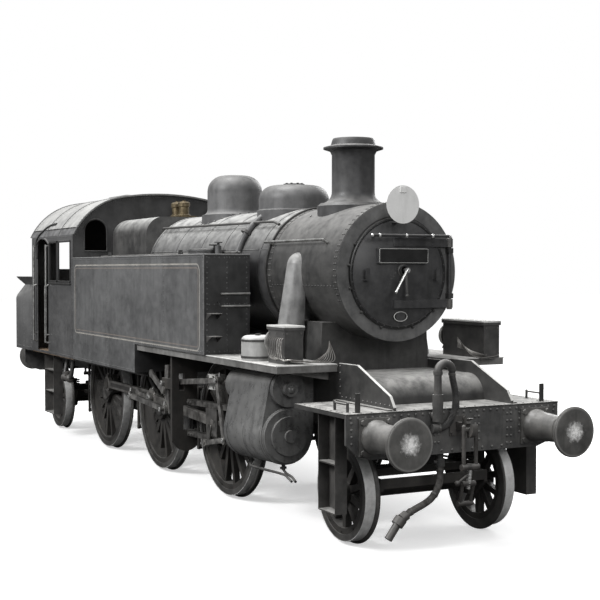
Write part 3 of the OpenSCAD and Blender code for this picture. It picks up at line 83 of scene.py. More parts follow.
class Val:
    """A number on a node's socket, with the usual operators."""

    def __init__(self, tree: bpy.types.NodeTree, socket: bpy.types.NodeSocket) -> None:
        """Wraps a socket.

        Args:
            tree: The node tree that the socket is in.
            socket: The output socket that carries the number.
        """
        self.tree = tree
        self.socket = socket

    def calc(self, operation: str, *others: "Val | float", clamp: bool = False) -> "Val":
        """Adds one Math node.

        Args:
            operation: The Math node's operation.
            others: The second and third values.
            clamp: Whether the result stays between 0 and 1.

        Returns:
            The result.
        """
        node = self.tree.nodes.new("ShaderNodeMath")
        node.operation = operation
        node.use_clamp = clamp
        for place, value in enumerate((self, *others)):
            if isinstance(value, Val):
                self.tree.links.new(value.socket, node.inputs[place])
            else:
                node.inputs[place].default_value = value
        return Val(self.tree, node.outputs[0])

    def __add__(self, other: "Val | float") -> "Val":
        """Returns the sum."""
        return self.calc("ADD", other)

    __radd__ = __add__

    def __mul__(self, other: "Val | float") -> "Val":
        """Returns the product."""
        return self.calc("MULTIPLY", other)

    __rmul__ = __mul__

    def __sub__(self, other: "Val | float") -> "Val":
        """Returns the difference."""
        return self.calc("SUBTRACT", other)

    def __rsub__(self, other: float) -> "Val":
        """Returns a number less this value."""
        return self * -1.0 + other

    def __truediv__(self, other: "Val | float") -> "Val":
        """Returns the quotient."""
        return self.calc("DIVIDE", other)

    def clamped(self) -> "Val":
        """Returns the value held between 0 and 1."""
        return self.calc("ADD", 0.0, clamp=True)

    def ramp(self, low: float, high: float) -> "Val":
        """Returns 0 below the low value, 1 above the high one, and a straight line between."""
        return ((self - low) * (1.0 / (high - low))).clamped()


class Shader:
    """Builds one material's node tree."""

    def __init__(self, name: str) -> None:
        """Starts an empty material with its main surface node.

        Args:
            name: The material's name.
        """
        self.material = bpy.data.materials.new(name)
        self.material.use_nodes = True
        self.tree = self.material.node_tree
        self.tree.nodes.clear()
        self.surface = self.node("ShaderNodeBsdfPrincipled", {}, {})
        self.output = self.node("ShaderNodeOutputMaterial", {}, {"Surface": self.surface.outputs[0]})
        self.coords = self.node("ShaderNodeTexCoord", {}, {})

    def node(self, kind: str, settings: dict, inputs: dict) -> bpy.types.Node:
        """Adds a node.

        Args:
            kind: The node's type.
            settings: Its settings, by attribute name; a list of stops fills a colour ramp.
            inputs: Values or links of its sockets, by name or number.

        Returns:
            The new node.
        """
        node = self.tree.nodes.new(kind)
        for key, value in settings.items():
            setattr(node, key, value)
        for key, value in inputs.items():
            if isinstance(value, Val):
                value = value.socket
            if isinstance(value, bpy.types.NodeSocket):
                self.tree.links.new(value, node.inputs[key])
            else:
                node.inputs[key].default_value = value
        return node

    def number(self, socket: bpy.types.NodeSocket) -> Val:
        """Returns a socket as a number."""
        return Val(self.tree, socket)

    def place(self, scale: Point = (1.0, 1.0, 1.0), offset: Point = (0.0, 0.0, 0.0)) -> bpy.types.NodeSocket:
        """Returns object coordinates, stretched and moved."""
        node = self.node("ShaderNodeMapping", {}, {
            "Vector": self.coords.outputs["Object"], "Scale": scale, "Location": offset})
        return node.outputs[0]

    def noise(self, scale: float, detail: float = 3.0, stretch: Point = (1.0, 1.0, 1.0),
              rough: float = 0.55) -> Val:
        """Returns cloudy noise over the object, in features per metre."""
        node = self.node("ShaderNodeTexNoise", {}, {
            "Vector": self.place(stretch), "Scale": scale, "Detail": detail, "Roughness": rough})
        return self.number(node.outputs[0])

    def axis(self, name: str, source: str = "Object") -> Val:
        """Returns one coordinate of the place or the normal."""
        node = self.node("ShaderNodeSeparateXYZ", {}, {0: self.coords.outputs[source]})
        return self.number(node.outputs[name])

    def blend(self, amount: Val | float, first: "Colour | bpy.types.NodeSocket",
              second: "Colour | bpy.types.NodeSocket") -> bpy.types.NodeSocket:
        """Returns a colour between two others."""
        def paint(value: "Colour | bpy.types.NodeSocket") -> "tuple | bpy.types.NodeSocket":
            """Returns a colour in the form a socket takes."""
            return value if isinstance(value, bpy.types.NodeSocket) else (*value, 1.0)
        node = self.node("ShaderNodeMix", {"data_type": "RGBA"},
                         {0: amount, 6: paint(first), 7: paint(second)})
        return node.outputs[2]

    def relief(self, height: Val, distance: float, strength: float = 1.0) -> None:
        """Feeds a height in metres to the surface's normal."""
        node = self.node("ShaderNodeBump", {}, {"Height": height, "Distance": distance, "Strength": strength})
        self.tree.links.new(node.outputs[0], self.surface.inputs["Normal"])

    def feed(self, **inputs: "Val | bpy.types.NodeSocket | float | tuple") -> None:
        """Feeds the surface's sockets, with spaces in their names written as underscores."""
        for key, value in inputs.items():
            socket = self.surface.inputs[key.replace("_", " ")]
            if isinstance(value, Val):
                value = value.socket
            if isinstance(value, bpy.types.NodeSocket):
                self.tree.links.new(value, socket)
            else:
                socket.default_value = value


# ---- finishes ----


@dataclass(frozen=True)
class Paint:
    """Weathered paint on sheet or castings, with painted top light: faces that look up turn paler."""

    name: str
    slot: str
    deep: Colour
    worn: Colour
    rough: float = 0.42
    streak: float = 0.3
    dust_and_top_light: float = 0.45
    chip: float = 0.15
    ripple: float = 0.0012
    grain: float = 0.0002
    soot: Colour = (0.012, 0.012, 0.012)
    grit_and_top_light: Colour = (0.3, 0.295, 0.285)
    extra: Callable[[Shader, bpy.types.NodeSocket], bpy.types.NodeSocket] | None = None

    def build(self) -> bpy.types.Material:
        """Returns the paint's material."""
        shade = Shader(self.name)
        broad = shade.noise(1.7, 4.0)
        patch = shade.noise(9.0, 5.0, rough=0.65)
        speck = shade.noise(70.0, 3.0, rough=0.7)
        run = shade.noise(3.0, 4.0, (4.0, 4.0, 0.45), 0.6)
        wear = (broad * 0.55 + patch * 0.45).ramp(0.36, 0.66)
        colour = shade.blend(wear, self.deep, self.worn)
        colour = shade.blend(run.ramp(0.52, 0.72) * self.streak, colour, self.soot)
        # Faces that look up blend towards the grit colour by the dust amount: settled dust, and also painted top
        # light that brightens the tops.
        up = shade.axis("Z", "Normal").ramp(0.25, 0.95)
        dust_and_top_light_mask = (up * (patch.ramp(0.3, 0.62) * 0.7 + 0.3) * self.dust_and_top_light).clamped()
        colour = shade.blend(dust_and_top_light_mask, colour, self.grit_and_top_light)
        flake = (speck.ramp(0.6, 0.66) * patch.ramp(0.5, 0.62) * self.chip).clamped()
        colour = shade.blend(flake, colour, (0.17, 0.13, 0.1))
        if self.extra:
            colour = self.extra(shade, colour)
        shade.feed(Base_Color=colour, Specular_IOR_Level=0.5,
                   Roughness=(patch * 0.34 + dust_and_top_light_mask * 0.3 + flake * 0.25 + (self.rough - 0.17)).clamped())
        shade.relief(broad * self.ripple + speck * self.grain, 1.0)
        return shade.material


@dataclass(frozen=True)
class Steel:
    """Bare steel, from oiled forgings to polished treads."""

    name: str
    slot: str
    bright: Colour
    dull: Colour
    rough: float = 0.32
    grease: float = 0.4
    metal: float = 0.9

    def build(self) -> bpy.types.Material:
        """Returns the steel's material."""
        shade = Shader(self.name)
        patch = shade.noise(14.0, 4.0, rough=0.62)
        broad = shade.noise(3.5, 3.0)
        fine = shade.noise(110.0, 2.0, (1.0, 3.0, 1.0))
        oily = (broad.ramp(0.42, 0.62) * patch.ramp(0.3, 0.6) * self.grease).clamped()
        colour = shade.blend(patch.ramp(0.35, 0.65), self.dull, self.bright)
        colour = shade.blend(oily, colour, (0.03, 0.027, 0.024))
        shade.feed(Base_Color=colour, Metallic=(oily * -0.75 + self.metal).clamped(),
                   Roughness=(patch * 0.25 + oily * 0.12 + (self.rough - 0.1)).clamped())
        shade.relief(fine * 0.00015 + patch * 0.0004, 1.0)
        return shade.material


@dataclass(frozen=True)
class Rubber:
    """Matt rubber or canvas lagging of a hose."""

    name: str
    slot: str
    dark: Colour
    pale: Colour
    rough: float = 0.7

    def build(self) -> bpy.types.Material:
        """Returns the rubber's material."""
        shade = Shader(self.name)
        patch = shade.noise(22.0, 4.0)
        fine = shade.noise(300.0, 2.0)
        colour = shade.blend(patch.ramp(0.4, 0.7), self.dark, self.pale)
        shade.feed(Base_Color=colour, Roughness=(patch * 0.3 + (self.rough - 0.15)).clamped())
        shade.relief(fine * 0.0004 + patch * 0.0008, 1.0)
        return shade.material


@dataclass(frozen=True)
class Boards:
    """Bare floor boards that run across the cab."""

    name: str
    slot: str
    dark: Colour
    pale: Colour
    board: float = 0.14

    def build(self) -> bpy.types.Material:
        """Returns the boards' material."""
        shade = Shader(self.name)
        along = shade.noise(5.0, 5.0, (6.0, 0.6, 6.0), 0.65)
        gap = (shade.axis("X") / self.board).calc("FRACT").calc("SUBTRACT", 0.5).calc("ABSOLUTE").ramp(0.46,
                                                                                                       0.49)
        colour = shade.blend(along.ramp(0.3, 0.7), self.dark, self.pale)
        colour = shade.blend(gap, colour, (0.02, 0.015, 0.012))
        shade.feed(Base_Color=colour, Roughness=(along * 0.3 + 0.55).clamped())
        shade.relief(gap * -0.003 + along * 0.0006, 1.0)
        return shade.material


def painted_front_shade(shade: Shader, colour: bpy.types.NodeSocket) -> bpy.types.NodeSocket:
    """Paints shade on the faces that look forward, darkening them.

    Args:
        shade: The material being built.
        colour: The paint elsewhere.

    Returns:
        The colour with the dark faces.
    """
    # Painted shade: faces whose normals point forward blend towards near-black.
    front = shade.axis("X", "Normal").ramp(0.85, 0.95) * (shade.noise(4.0, 4.0).ramp(0.3, 0.7) * 0.25 + 0.6)
    return shade.blend(front, colour, (0.009, 0.009, 0.009))


def tank_lining(shade: Shader, colour: bpy.types.NodeSocket) -> bpy.types.NodeSocket:
    """Adds painted shade on the forward faces and a lined panel to the tank sides.

    Args:
        shade: The material being built.
        colour: The paint below the lines.

    Returns:
        The colour with the lines.
    """
    # Painted shade on the faces that look forward.
    colour = painted_front_shade(shade, colour)
    x, y, z = (shade.axis(name) for name in "XYZ")
    centre_x, half_x, centre_z, half_z, corner = 0.270, 2.235, 2.135, 0.462, 0.085
    away_x = (x - centre_x).calc("ABSOLUTE") - (half_x - corner)
    away_z = (z - centre_z).calc("ABSOLUTE") - (half_z - corner)
    out = (away_x.calc("MAXIMUM", 0.0) * away_x.calc("MAXIMUM", 0.0)
           + away_z.calc("MAXIMUM", 0.0) * away_z.calc("MAXIMUM", 0.0)).calc("SQRT")
    edge = out + away_x.calc("MAXIMUM", away_z).calc("MINIMUM", 0.0) - corner
    fade = shade.noise(6.0, 4.0).ramp(0.25, 0.6) * 0.6 + 0.4
    side = y.calc("ABSOLUTE").ramp(1.3255, 1.3265) * shade.axis("Y", "Normal").calc("ABSOLUTE").ramp(0.9,
                                                                                                     0.95)
    for shift, width, tone, strength in ((0.0, 0.007, (0.42, 0.4, 0.36), 0.75),
                                         (0.04, 0.004, (0.3, 0.24, 0.2), 0.5)):
        line = 1.0 - (edge + shift).calc("ABSOLUTE").ramp(width, width + 0.003)
        colour = shade.blend(line * fade * side * strength, colour, tone)
    return colour


def polished_middle(shade: Shader, colour: bpy.types.NodeSocket) -> bpy.types.NodeSocket:
    """Adds the speckled bright patch in the middle of each buffer face.

    Args:
        shade: The material being built.
        colour: The paint round the patch.

    Returns:
        The colour with the patch.
    """
    across = shade.axis("Y").calc("ABSOLUTE") - 0.870
    up = shade.axis("Z") - 1.084
    away = (across * across + up * up).calc("SQRT")
    rough_edge = away + (shade.noise(26.0, 5.0, rough=0.7) - 0.5) * 0.16
    patch = (1.0 - rough_edge.ramp(0.03, 0.1)) * (shade.noise(45.0, 3.0, rough=0.7).ramp(0.34,
                                                                                         0.55) * 0.5 + 0.5)
    rim = away.ramp(0.2, 0.216) * 0.5
    return shade.blend(rim, shade.blend(patch, colour, (0.95, 0.945, 0.93)), (0.3, 0.295, 0.285))


def roof_shoulder(shade: Shader, colour: bpy.types.NodeSocket) -> bpy.types.NodeSocket:
    """Paints the roof's lowest strips in the colour of the cab sides; the roof above them is paler, partly from
    weathering and partly as painted top light.

    Args:
        shade: The material being built.
        colour: The roof's own colour.

    Returns:
        The colour with the strips.
    """
    low = 1.0 - shade.axis("Z").ramp(3.128, 3.134)
    side = shade.blend(shade.noise(9.0, 5.0, rough=0.65).ramp(0.35, 0.65), (0.05, 0.05, 0.051),
                       (0.125, 0.125, 0.126))
    return shade.blend(low, colour, side)


FINISHES = (
    Paint("sooty_black", "black_paint", (0.016, 0.016, 0.016), (0.055, 0.054, 0.052), 0.5, dust_and_top_light=0.9,
          grit_and_top_light=(0.42, 0.415, 0.4)),
    Paint("frame_dirt", "frame_paint", (0.014, 0.013, 0.012), (0.045, 0.042, 0.038), 0.62, dust_and_top_light=0.5,
          chip=0.4),
    Paint("beam_black", "beam_paint", (0.05, 0.05, 0.05), (0.13, 0.128, 0.124), 0.45, dust_and_top_light=0.9, chip=0.5,
          streak=0.5),
    Paint("buffer_iron", "buffer_steel", (0.05, 0.049, 0.047), (0.15, 0.147, 0.14), 0.42, chip=0.4),
    Paint("coupling_iron", "coupling_steel", (0.03, 0.028, 0.026), (0.11, 0.105, 0.1), 0.42, chip=0.5),
    Paint("plate_black", "plate_paint", (0.03, 0.029, 0.028), (0.095, 0.092, 0.088), 0.48, dust_and_top_light=0.9, chip=0.3,
          grit_and_top_light=(0.4, 0.395, 0.38)),
    Paint("smokebox_black", "smokebox_paint", (0.016, 0.016, 0.016), (0.065, 0.064, 0.062), 0.5, dust_and_top_light=0.5,
          streak=0.5),
    Paint("door_black", "door_paint", (0.022, 0.022, 0.023), (0.07, 0.07, 0.071), 0.42, streak=0.45),
    Paint("chimney_black", "chimney_paint", (0.02, 0.02, 0.021), (0.075, 0.075, 0.076), 0.5, ripple=0.002),
    # The boiler's high dust amount gives its top strong painted top light.
    Paint("boiler_black", "boiler_paint", (0.025, 0.025, 0.026), (0.08, 0.08, 0.081), 0.34, dust_and_top_light=0.95,
          grit_and_top_light=(0.38, 0.38, 0.37)),
    Paint("firebox_black", "firebox_paint", (0.03, 0.03, 0.03), (0.1, 0.099, 0.096), 0.38, dust_and_top_light=0.9,
          grit_and_top_light=(0.38, 0.38, 0.37)),
    Paint("tank_black", "tank_paint", (0.062, 0.063, 0.064), (0.14, 0.141, 0.142), 0.34, streak=0.35,
          chip=0.06,
          ripple=0.003, extra=tank_lining),
    # The cab's forward faces carry painted shade.
    Paint("cab_black", "cab_paint", (0.045, 0.045, 0.046), (0.105, 0.105, 0.106), 0.36, ripple=0.002,
          extra=painted_front_shade),
    # Pale roof grey: weathering, and also painted top light that makes the roof paler than the cab sides.
    Paint("roof_grey_top_lit", "roof_paint", (0.17, 0.17, 0.168), (0.36, 0.36, 0.35), 0.6, streak=0.25,
          grit_and_top_light=(0.36, 0.36, 0.35),
          chip=0.3, extra=roof_shoulder),
    Boards("floor_boards", "floor_wood", (0.09, 0.06, 0.04), (0.25, 0.18, 0.12)),
    Steel("handled_brass", "cab_brass", (0.55, 0.4, 0.18), (0.3, 0.2, 0.09), 0.35, 0.3),
    Steel("valve_brass", "valve_brass", (0.2, 0.16, 0.09), (0.09, 0.07, 0.045), 0.45, 0.6),
    Paint("bunker_black", "bunker_paint", (0.045, 0.045, 0.046), (0.105, 0.105, 0.105), 0.38, dust_and_top_light=0.9,
          ripple=0.003,
          grit_and_top_light=(0.42, 0.42, 0.41)),
    Paint("cylinder_black", "cylinder_paint", (0.06, 0.06, 0.06), (0.17, 0.17, 0.167), 0.3, streak=0.5,
          dust_and_top_light=0.6),
    Steel("slide_steel", "bright_steel", (0.26, 0.255, 0.245), (0.09, 0.087, 0.083), 0.34, 0.6),
    Steel("rod_steel", "rod_steel", (0.42, 0.41, 0.39), (0.2, 0.19, 0.18), 0.34, 0.6),
    Steel("gear_steel", "gear_steel", (0.5, 0.49, 0.47), (0.17, 0.165, 0.16), 0.32, 0.55),
    Paint("lubricator_black", "lubricator_paint", (0.03, 0.03, 0.03), (0.09, 0.088, 0.085), 0.38, dust_and_top_light=0.4),
    Steel("rail_steel", "rail_steel", (0.5, 0.5, 0.49), (0.25, 0.25, 0.24), 0.34, 0.3),
    Paint("pipe_black", "pipe_paint", (0.025, 0.025, 0.025), (0.085, 0.083, 0.08), 0.45, chip=0.4),
    Rubber("hose_rubber", "hose_rubber", (0.018, 0.018, 0.018), (0.06, 0.058, 0.056)),
    Rubber("hose_canvas", "heat_hose", (0.03, 0.028, 0.026), (0.11, 0.105, 0.1), 0.8),
    Paint("disc_enamel", "disc_white", (0.72, 0.72, 0.71), (0.86, 0.86, 0.85), 0.4, streak=0.22, dust_and_top_light=0.1,
          chip=0.5,
          soot=(0.34, 0.34, 0.33)),
    Paint("wheel_black", "wheel_paint", (0.014, 0.013, 0.012), (0.055, 0.052, 0.048), 0.5, dust_and_top_light=0.4,
          chip=0.5),
    Paint("tyre_dark", "tyre_steel", (0.022, 0.021, 0.02), (0.1, 0.098, 0.094), 0.4, dust_and_top_light=0.3, chip=0.5),
)
EXTRA_FINISHES = (
    # Pale edges: worn paint, and also a painted highlight where the edges catch the light.
    Paint("edge_wear_and_highlight", "plate_paint", (0.3, 0.3, 0.29), (0.6, 0.595, 0.58), 0.42, streak=0.5, dust_and_top_light=0.8,
          chip=0.3,
          grit_and_top_light=(0.7, 0.7, 0.68)),
    Paint("buffer_face", "buffer_steel", (0.05, 0.049, 0.047), (0.14, 0.138, 0.132), 0.36, streak=0.4,
          chip=0.4,
          extra=polished_middle),
    Paint("oiled_wheel", "buffer_steel", (0.12, 0.118, 0.112), (0.42, 0.415, 0.4), 0.3, streak=0.5, chip=0.4),
    Paint("dome_black", "boiler_paint", (0.04, 0.04, 0.041), (0.115, 0.115, 0.116), 0.5, dust_and_top_light=0.3,
          ripple=0.002),
    # Running plate tops: worn paint, and also paler as painted top light.
    Paint("plate_worn_top_lit", "plate_paint", (0.09, 0.089, 0.086), (0.25, 0.247, 0.24), 0.48, dust_and_top_light=0.9, chip=0.3,
          grit_and_top_light=(0.5, 0.495, 0.48)),
    # Pale grey on the steam pipes is painted light: it stands in for how brightly they are lit.
    Paint("pipe_grey_painted_light", "smokebox_paint", (0.12, 0.12, 0.119), (0.27, 0.27, 0.266), 0.42, streak=0.4,
          chip=0.2),
    # Pale drum whose brighter top is a painted top highlight.
    Paint("drum_grey_top_lit", "lubricator_paint", (0.26, 0.26, 0.255), (0.46, 0.46, 0.45), 0.5, dust_and_top_light=0.9, streak=0.3,
          grit_and_top_light=(0.66, 0.66, 0.65)),
    Paint("tank_edge", "tank_paint", (0.1, 0.1, 0.1), (0.2, 0.2, 0.2), 0.35),
    Paint("cab_dark", "cab_paint", (0.01, 0.01, 0.01), (0.035, 0.035, 0.035), 0.4),
    Paint("roof_dark", "roof_paint", (0.05, 0.05, 0.05), (0.12, 0.12, 0.12), 0.5),
    Paint("guide_pale", "bright_steel", (0.4, 0.4, 0.39), (0.62, 0.62, 0.6), 0.4, streak=0.4, chip=0.4),
    Steel("polished_tread", "tyre_steel", (0.92, 0.92, 0.91), (0.66, 0.66, 0.65), 0.38, 0.05, 0.35),
    Steel("rod_shade", "rod_steel", (0.16, 0.155, 0.15), (0.07, 0.068, 0.065), 0.4, 0.6),
    Steel("clean_steel", "bright_steel", (0.75, 0.75, 0.74), (0.5, 0.5, 0.49), 0.24, 0.1),
    Paint("plate_blank", "door_paint", (0.008, 0.008, 0.008), (0.02, 0.02, 0.02), 0.34, chip=0.05,
          streak=0.0),
    Paint("rim_pale", "door_paint", (0.4, 0.4, 0.39), (0.6, 0.6, 0.58), 0.4, chip=0.3),
    Paint("ring_grey", "smokebox_paint", (0.06, 0.06, 0.06), (0.17, 0.17, 0.168), 0.42),
)


class Finishes:
    """The built materials, by name and by slot."""

    def __init__(self) -> None:
        """Builds every finish once."""
        self.by_slot: dict[str, bpy.types.Material] = {}
        self.by_name: dict[str, tuple[bpy.types.Material, str]] = {}
        for finish in FINISHES:
            material = finish.build()
            self.by_slot[finish.slot] = material
            self.by_name[finish.name] = (material, finish.slot)
        for finish in EXTRA_FINISHES:
            self.by_name[finish.name] = (finish.build(), finish.slot)

    def apply(self, piece: bpy.types.Object, name: str) -> None:
        """Puts a named finish on a piece."""
        material, slot = self.by_name[name]
        piece.data.materials.clear()
        piece.data.materials.append(material)


LOOKS = Finishes()


# ---- making pieces ----


class Maker:
    """Collects closed shells in one mesh, measured in millimetres above the rails."""

    def __init__(self, name: str) -> None:
        """Starts an empty piece.

        Args:
            name: The piece's name.
        """
        self.name = name
        self.bm = bmesh.new()

    def box(self, x0: float, x1: float, y0: float, y1: float, z0: float, z1: float) -> None:
        """Adds a square block."""
        self.plate([(x0, z0), (x1, z0), (x1, z1), (x0, z1)], "y", y0, y1)

    def plate(self, outline: Sequence[tuple[float, float]], across: str, low: float, high: float) -> None:
        """Adds a flat plate.

        Args:
            outline: Its corners in the two other axes, in the order X, Y, Z.
            across: The axis that its thickness lies along.
            low: Where it starts on that axis.
            high: Where it ends.
        """
        def spot(a: float, b: float, c: float) -> Vector:
            """Returns an outline corner at a depth."""
            return {"x": at(c, a, b), "y": at(a, c, b), "z": at(a, b, c)}[across]
        ends = [[self.bm.verts.new(spot(a, b, c)) for a, b in outline] for c in (low, high)]
        self.bm.faces.new(ends[0])
        self.bm.faces.new(ends[1][::-1])
        count = len(outline)
        for i in range(count):
            j = (i + 1) % count
            self.bm.faces.new((ends[0][j], ends[0][i], ends[1][i], ends[1][j]))

    def turned(self, profile: Sequence[tuple[float, float]], origin: Point, axis: Point = (0, 0, 1),
               steps: int = 40, loop: bool = False) -> None:
        """Adds a turned shape.

        Args:
            profile: Distance along the axis and radius, from one end to the other.
            origin: Where the axis starts.
            axis: Its direction.
            steps: Sides of the circle.
            loop: Whether the profile closes on itself, as a ring's does.
        """
        turn = Vector(axis).to_track_quat("Z", "X").to_matrix()
        base = at(*origin)
        rings = []
        for along, radius in profile:
            rings.append([self.bm.verts.new(base + turn @ (Vector((
                radius * math.cos(a), radius * math.sin(a), along)) * MM))
                for a in (math.tau * k / steps for k in range(steps))])
        pairs = list(zip(rings, rings[1:])) + ([(rings[-1], rings[0])] if loop else [])
        for a, b in pairs:
            for k in range(steps):
                j = (k + 1) % steps
                self.bm.faces.new((a[k], a[j], b[j], b[k]))
        if not loop:
            self.bm.faces.new(rings[0][::-1])
            self.bm.faces.new(rings[-1])

    def rod(self, start: Point, end: Point, radius: float, steps: int = 12,
            end_radius: float | None = None) -> None:
        """Adds a straight round bar between two points."""
        way = Vector(end) - Vector(start)
        self.turned([(0, radius), (way.length, end_radius or radius)], start, tuple(way), steps)

    def tube(self, route: Sequence[Point], radius: float | Sequence[float], steps: int = 10,
             closed: bool = False) -> None:
        """Adds a bent round tube along a route, with even rings and closed ends."""
        spots = [at(*p) for p in route]
        count = len(spots)
        radii = list(radius) if isinstance(radius, Sequence) else [radius] * count
        side = None
        rings = []
        for i, spot in enumerate(spots):
            before = spots[i - 1] if i or closed else spot
            after = spots[(i + 1) % count] if i < count - 1 or closed else spot
            way = (after - before).normalized()
            if side is None:
                side = way.orthogonal().normalized()
            side = (side - way * side.dot(way)).normalized()
            other = way.cross(side)
            rings.append([self.bm.verts.new(spot + (side * math.cos(t) + other * math.sin(t)) * radii[i] * MM)
                          for t in (math.tau * k / steps for k in range(steps))])
        pairs = list(zip(rings, rings[1:])) + ([(rings[-1], rings[0])] if closed else [])
        for a, b in pairs:
            for k in range(steps):
                j = (k + 1) % steps
                self.bm.faces.new((a[k], a[j], b[j], b[k]))
        if not closed:
            self.bm.faces.new(rings[0][::-1])
            self.bm.faces.new(rings[-1])

    def ball(self, centre: Point, radius: float, stretch: Point = (1, 1, 1)) -> None:
        """Adds a small ball."""
        made = bmesh.ops.create_uvsphere(self.bm, u_segments=14, v_segments=8, radius=radius * MM)
        for vert in made["verts"]:
            vert.co = at(*centre) + Vector(vert.co[i] * stretch[i] for i in range(3))

    def mirrored(self) -> None:
        """Adds the mirror image of all so far across the middle plane."""
        made = bmesh.ops.duplicate(self.bm, geom=self.bm.verts[:] + self.bm.edges[:] + self.bm.faces[:])
        for vert in (g for g in made["geom"] if isinstance(g, bmesh.types.BMVert)):
            vert.co.y *= -1.0

    def make(self, body: Body, finish: str, bevel: float = 0.0, smooth: float = 35.0) -> bpy.types.Object:
        """Makes the piece, and has it ride on a body.

        Args:
            body: The body that it rides on.
            finish: Its finish.
            bevel: The width of its broken edges in millimetres.
            smooth: Edges sharper than this many degrees stay sharp.

        Returns:
            The finished object.
        """
        bmesh.ops.recalc_face_normals(self.bm, faces=self.bm.faces[:])
        for face in self.bm.faces:
            face.smooth = True
        for edge in self.bm.edges:
            edge.smooth = len(edge.link_faces) == 2 and edge.calc_face_angle(0.0) < math.radians(smooth)
        mesh = bpy.data.meshes.new(self.name)
        self.bm.to_mesh(mesh)
        self.bm.free()
        piece = bpy.data.objects.new(self.name, mesh)
        bpy.context.scene.collection.objects.link(piece)
        if bevel:
            break_edges(piece, bevel)
        LOOKS.apply(piece, finish)
        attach(piece, body.value)
        LOG.info("%s: %d faces", self.name, len(piece.data.polygons))
        return piece


def bake_modifiers(piece: bpy.types.Object) -> None:
    """Turns a piece with modifiers into a plain mesh."""
    bpy.context.view_layer.update()
    graph = bpy.context.evaluated_depsgraph_get()
    mesh = bpy.data.meshes.new_from_object(piece.evaluated_get(graph), depsgraph=graph)
    piece.modifiers.clear()
    piece.data = mesh


def break_edges(piece: bpy.types.Object, width: float, segments: int = 2, angle: float = 40.0) -> None:
    """Rounds a piece's sharp edges a little, so that they catch the light."""
    bevel = piece.modifiers.new("edges", "BEVEL")
    bevel.width = width * MM
    bevel.segments = segments
    bevel.limit_method = "ANGLE"
    bevel.angle_limit = math.radians(angle)
    bevel.harden_normals = True
    bevel.miter_outer = "MITER_SHARP"
    bake_modifiers(piece)


def arc(centre: tuple[float, float], radius: float, start: float, end: float,
        steps: int) -> list[tuple[float, float]]:
    """Returns points on an arc, with angles in degrees."""
    return [(centre[0] + radius * math.cos(math.radians(start + (end - start) * i / steps)),
             centre[1] + radius * math.sin(math.radians(start + (end - start) * i / steps)))
            for i in range(steps + 1)]


def curve_through(points: Sequence[Point], steps: int = 6) -> list[Point]:
    """Returns a smooth route through some points."""
    spots = [Vector(p) for p in points]
    spots = [spots[0] * 2 - spots[1], *spots, spots[-1] * 2 - spots[-2]]
    route = []
    for a, b, c, d in zip(spots, spots[1:], spots[2:], spots[3:]):
        for k in range(steps):
            t = k / steps
            route.append(tuple(0.5 * (2 * b + (c - a) * t + (2 * a - 5 * b + 4 * c - d) * t * t
                                      + (3 * b - a - 3 * c + d) * t * t * t)))
    return [*route, tuple(spots[-2])]


# ---- repeated heads, made by geometry nodes ----


class Head(Enum):
    """The shapes of repeated heads."""

    RIVET = "rivet"
    BOLT = "bolt"


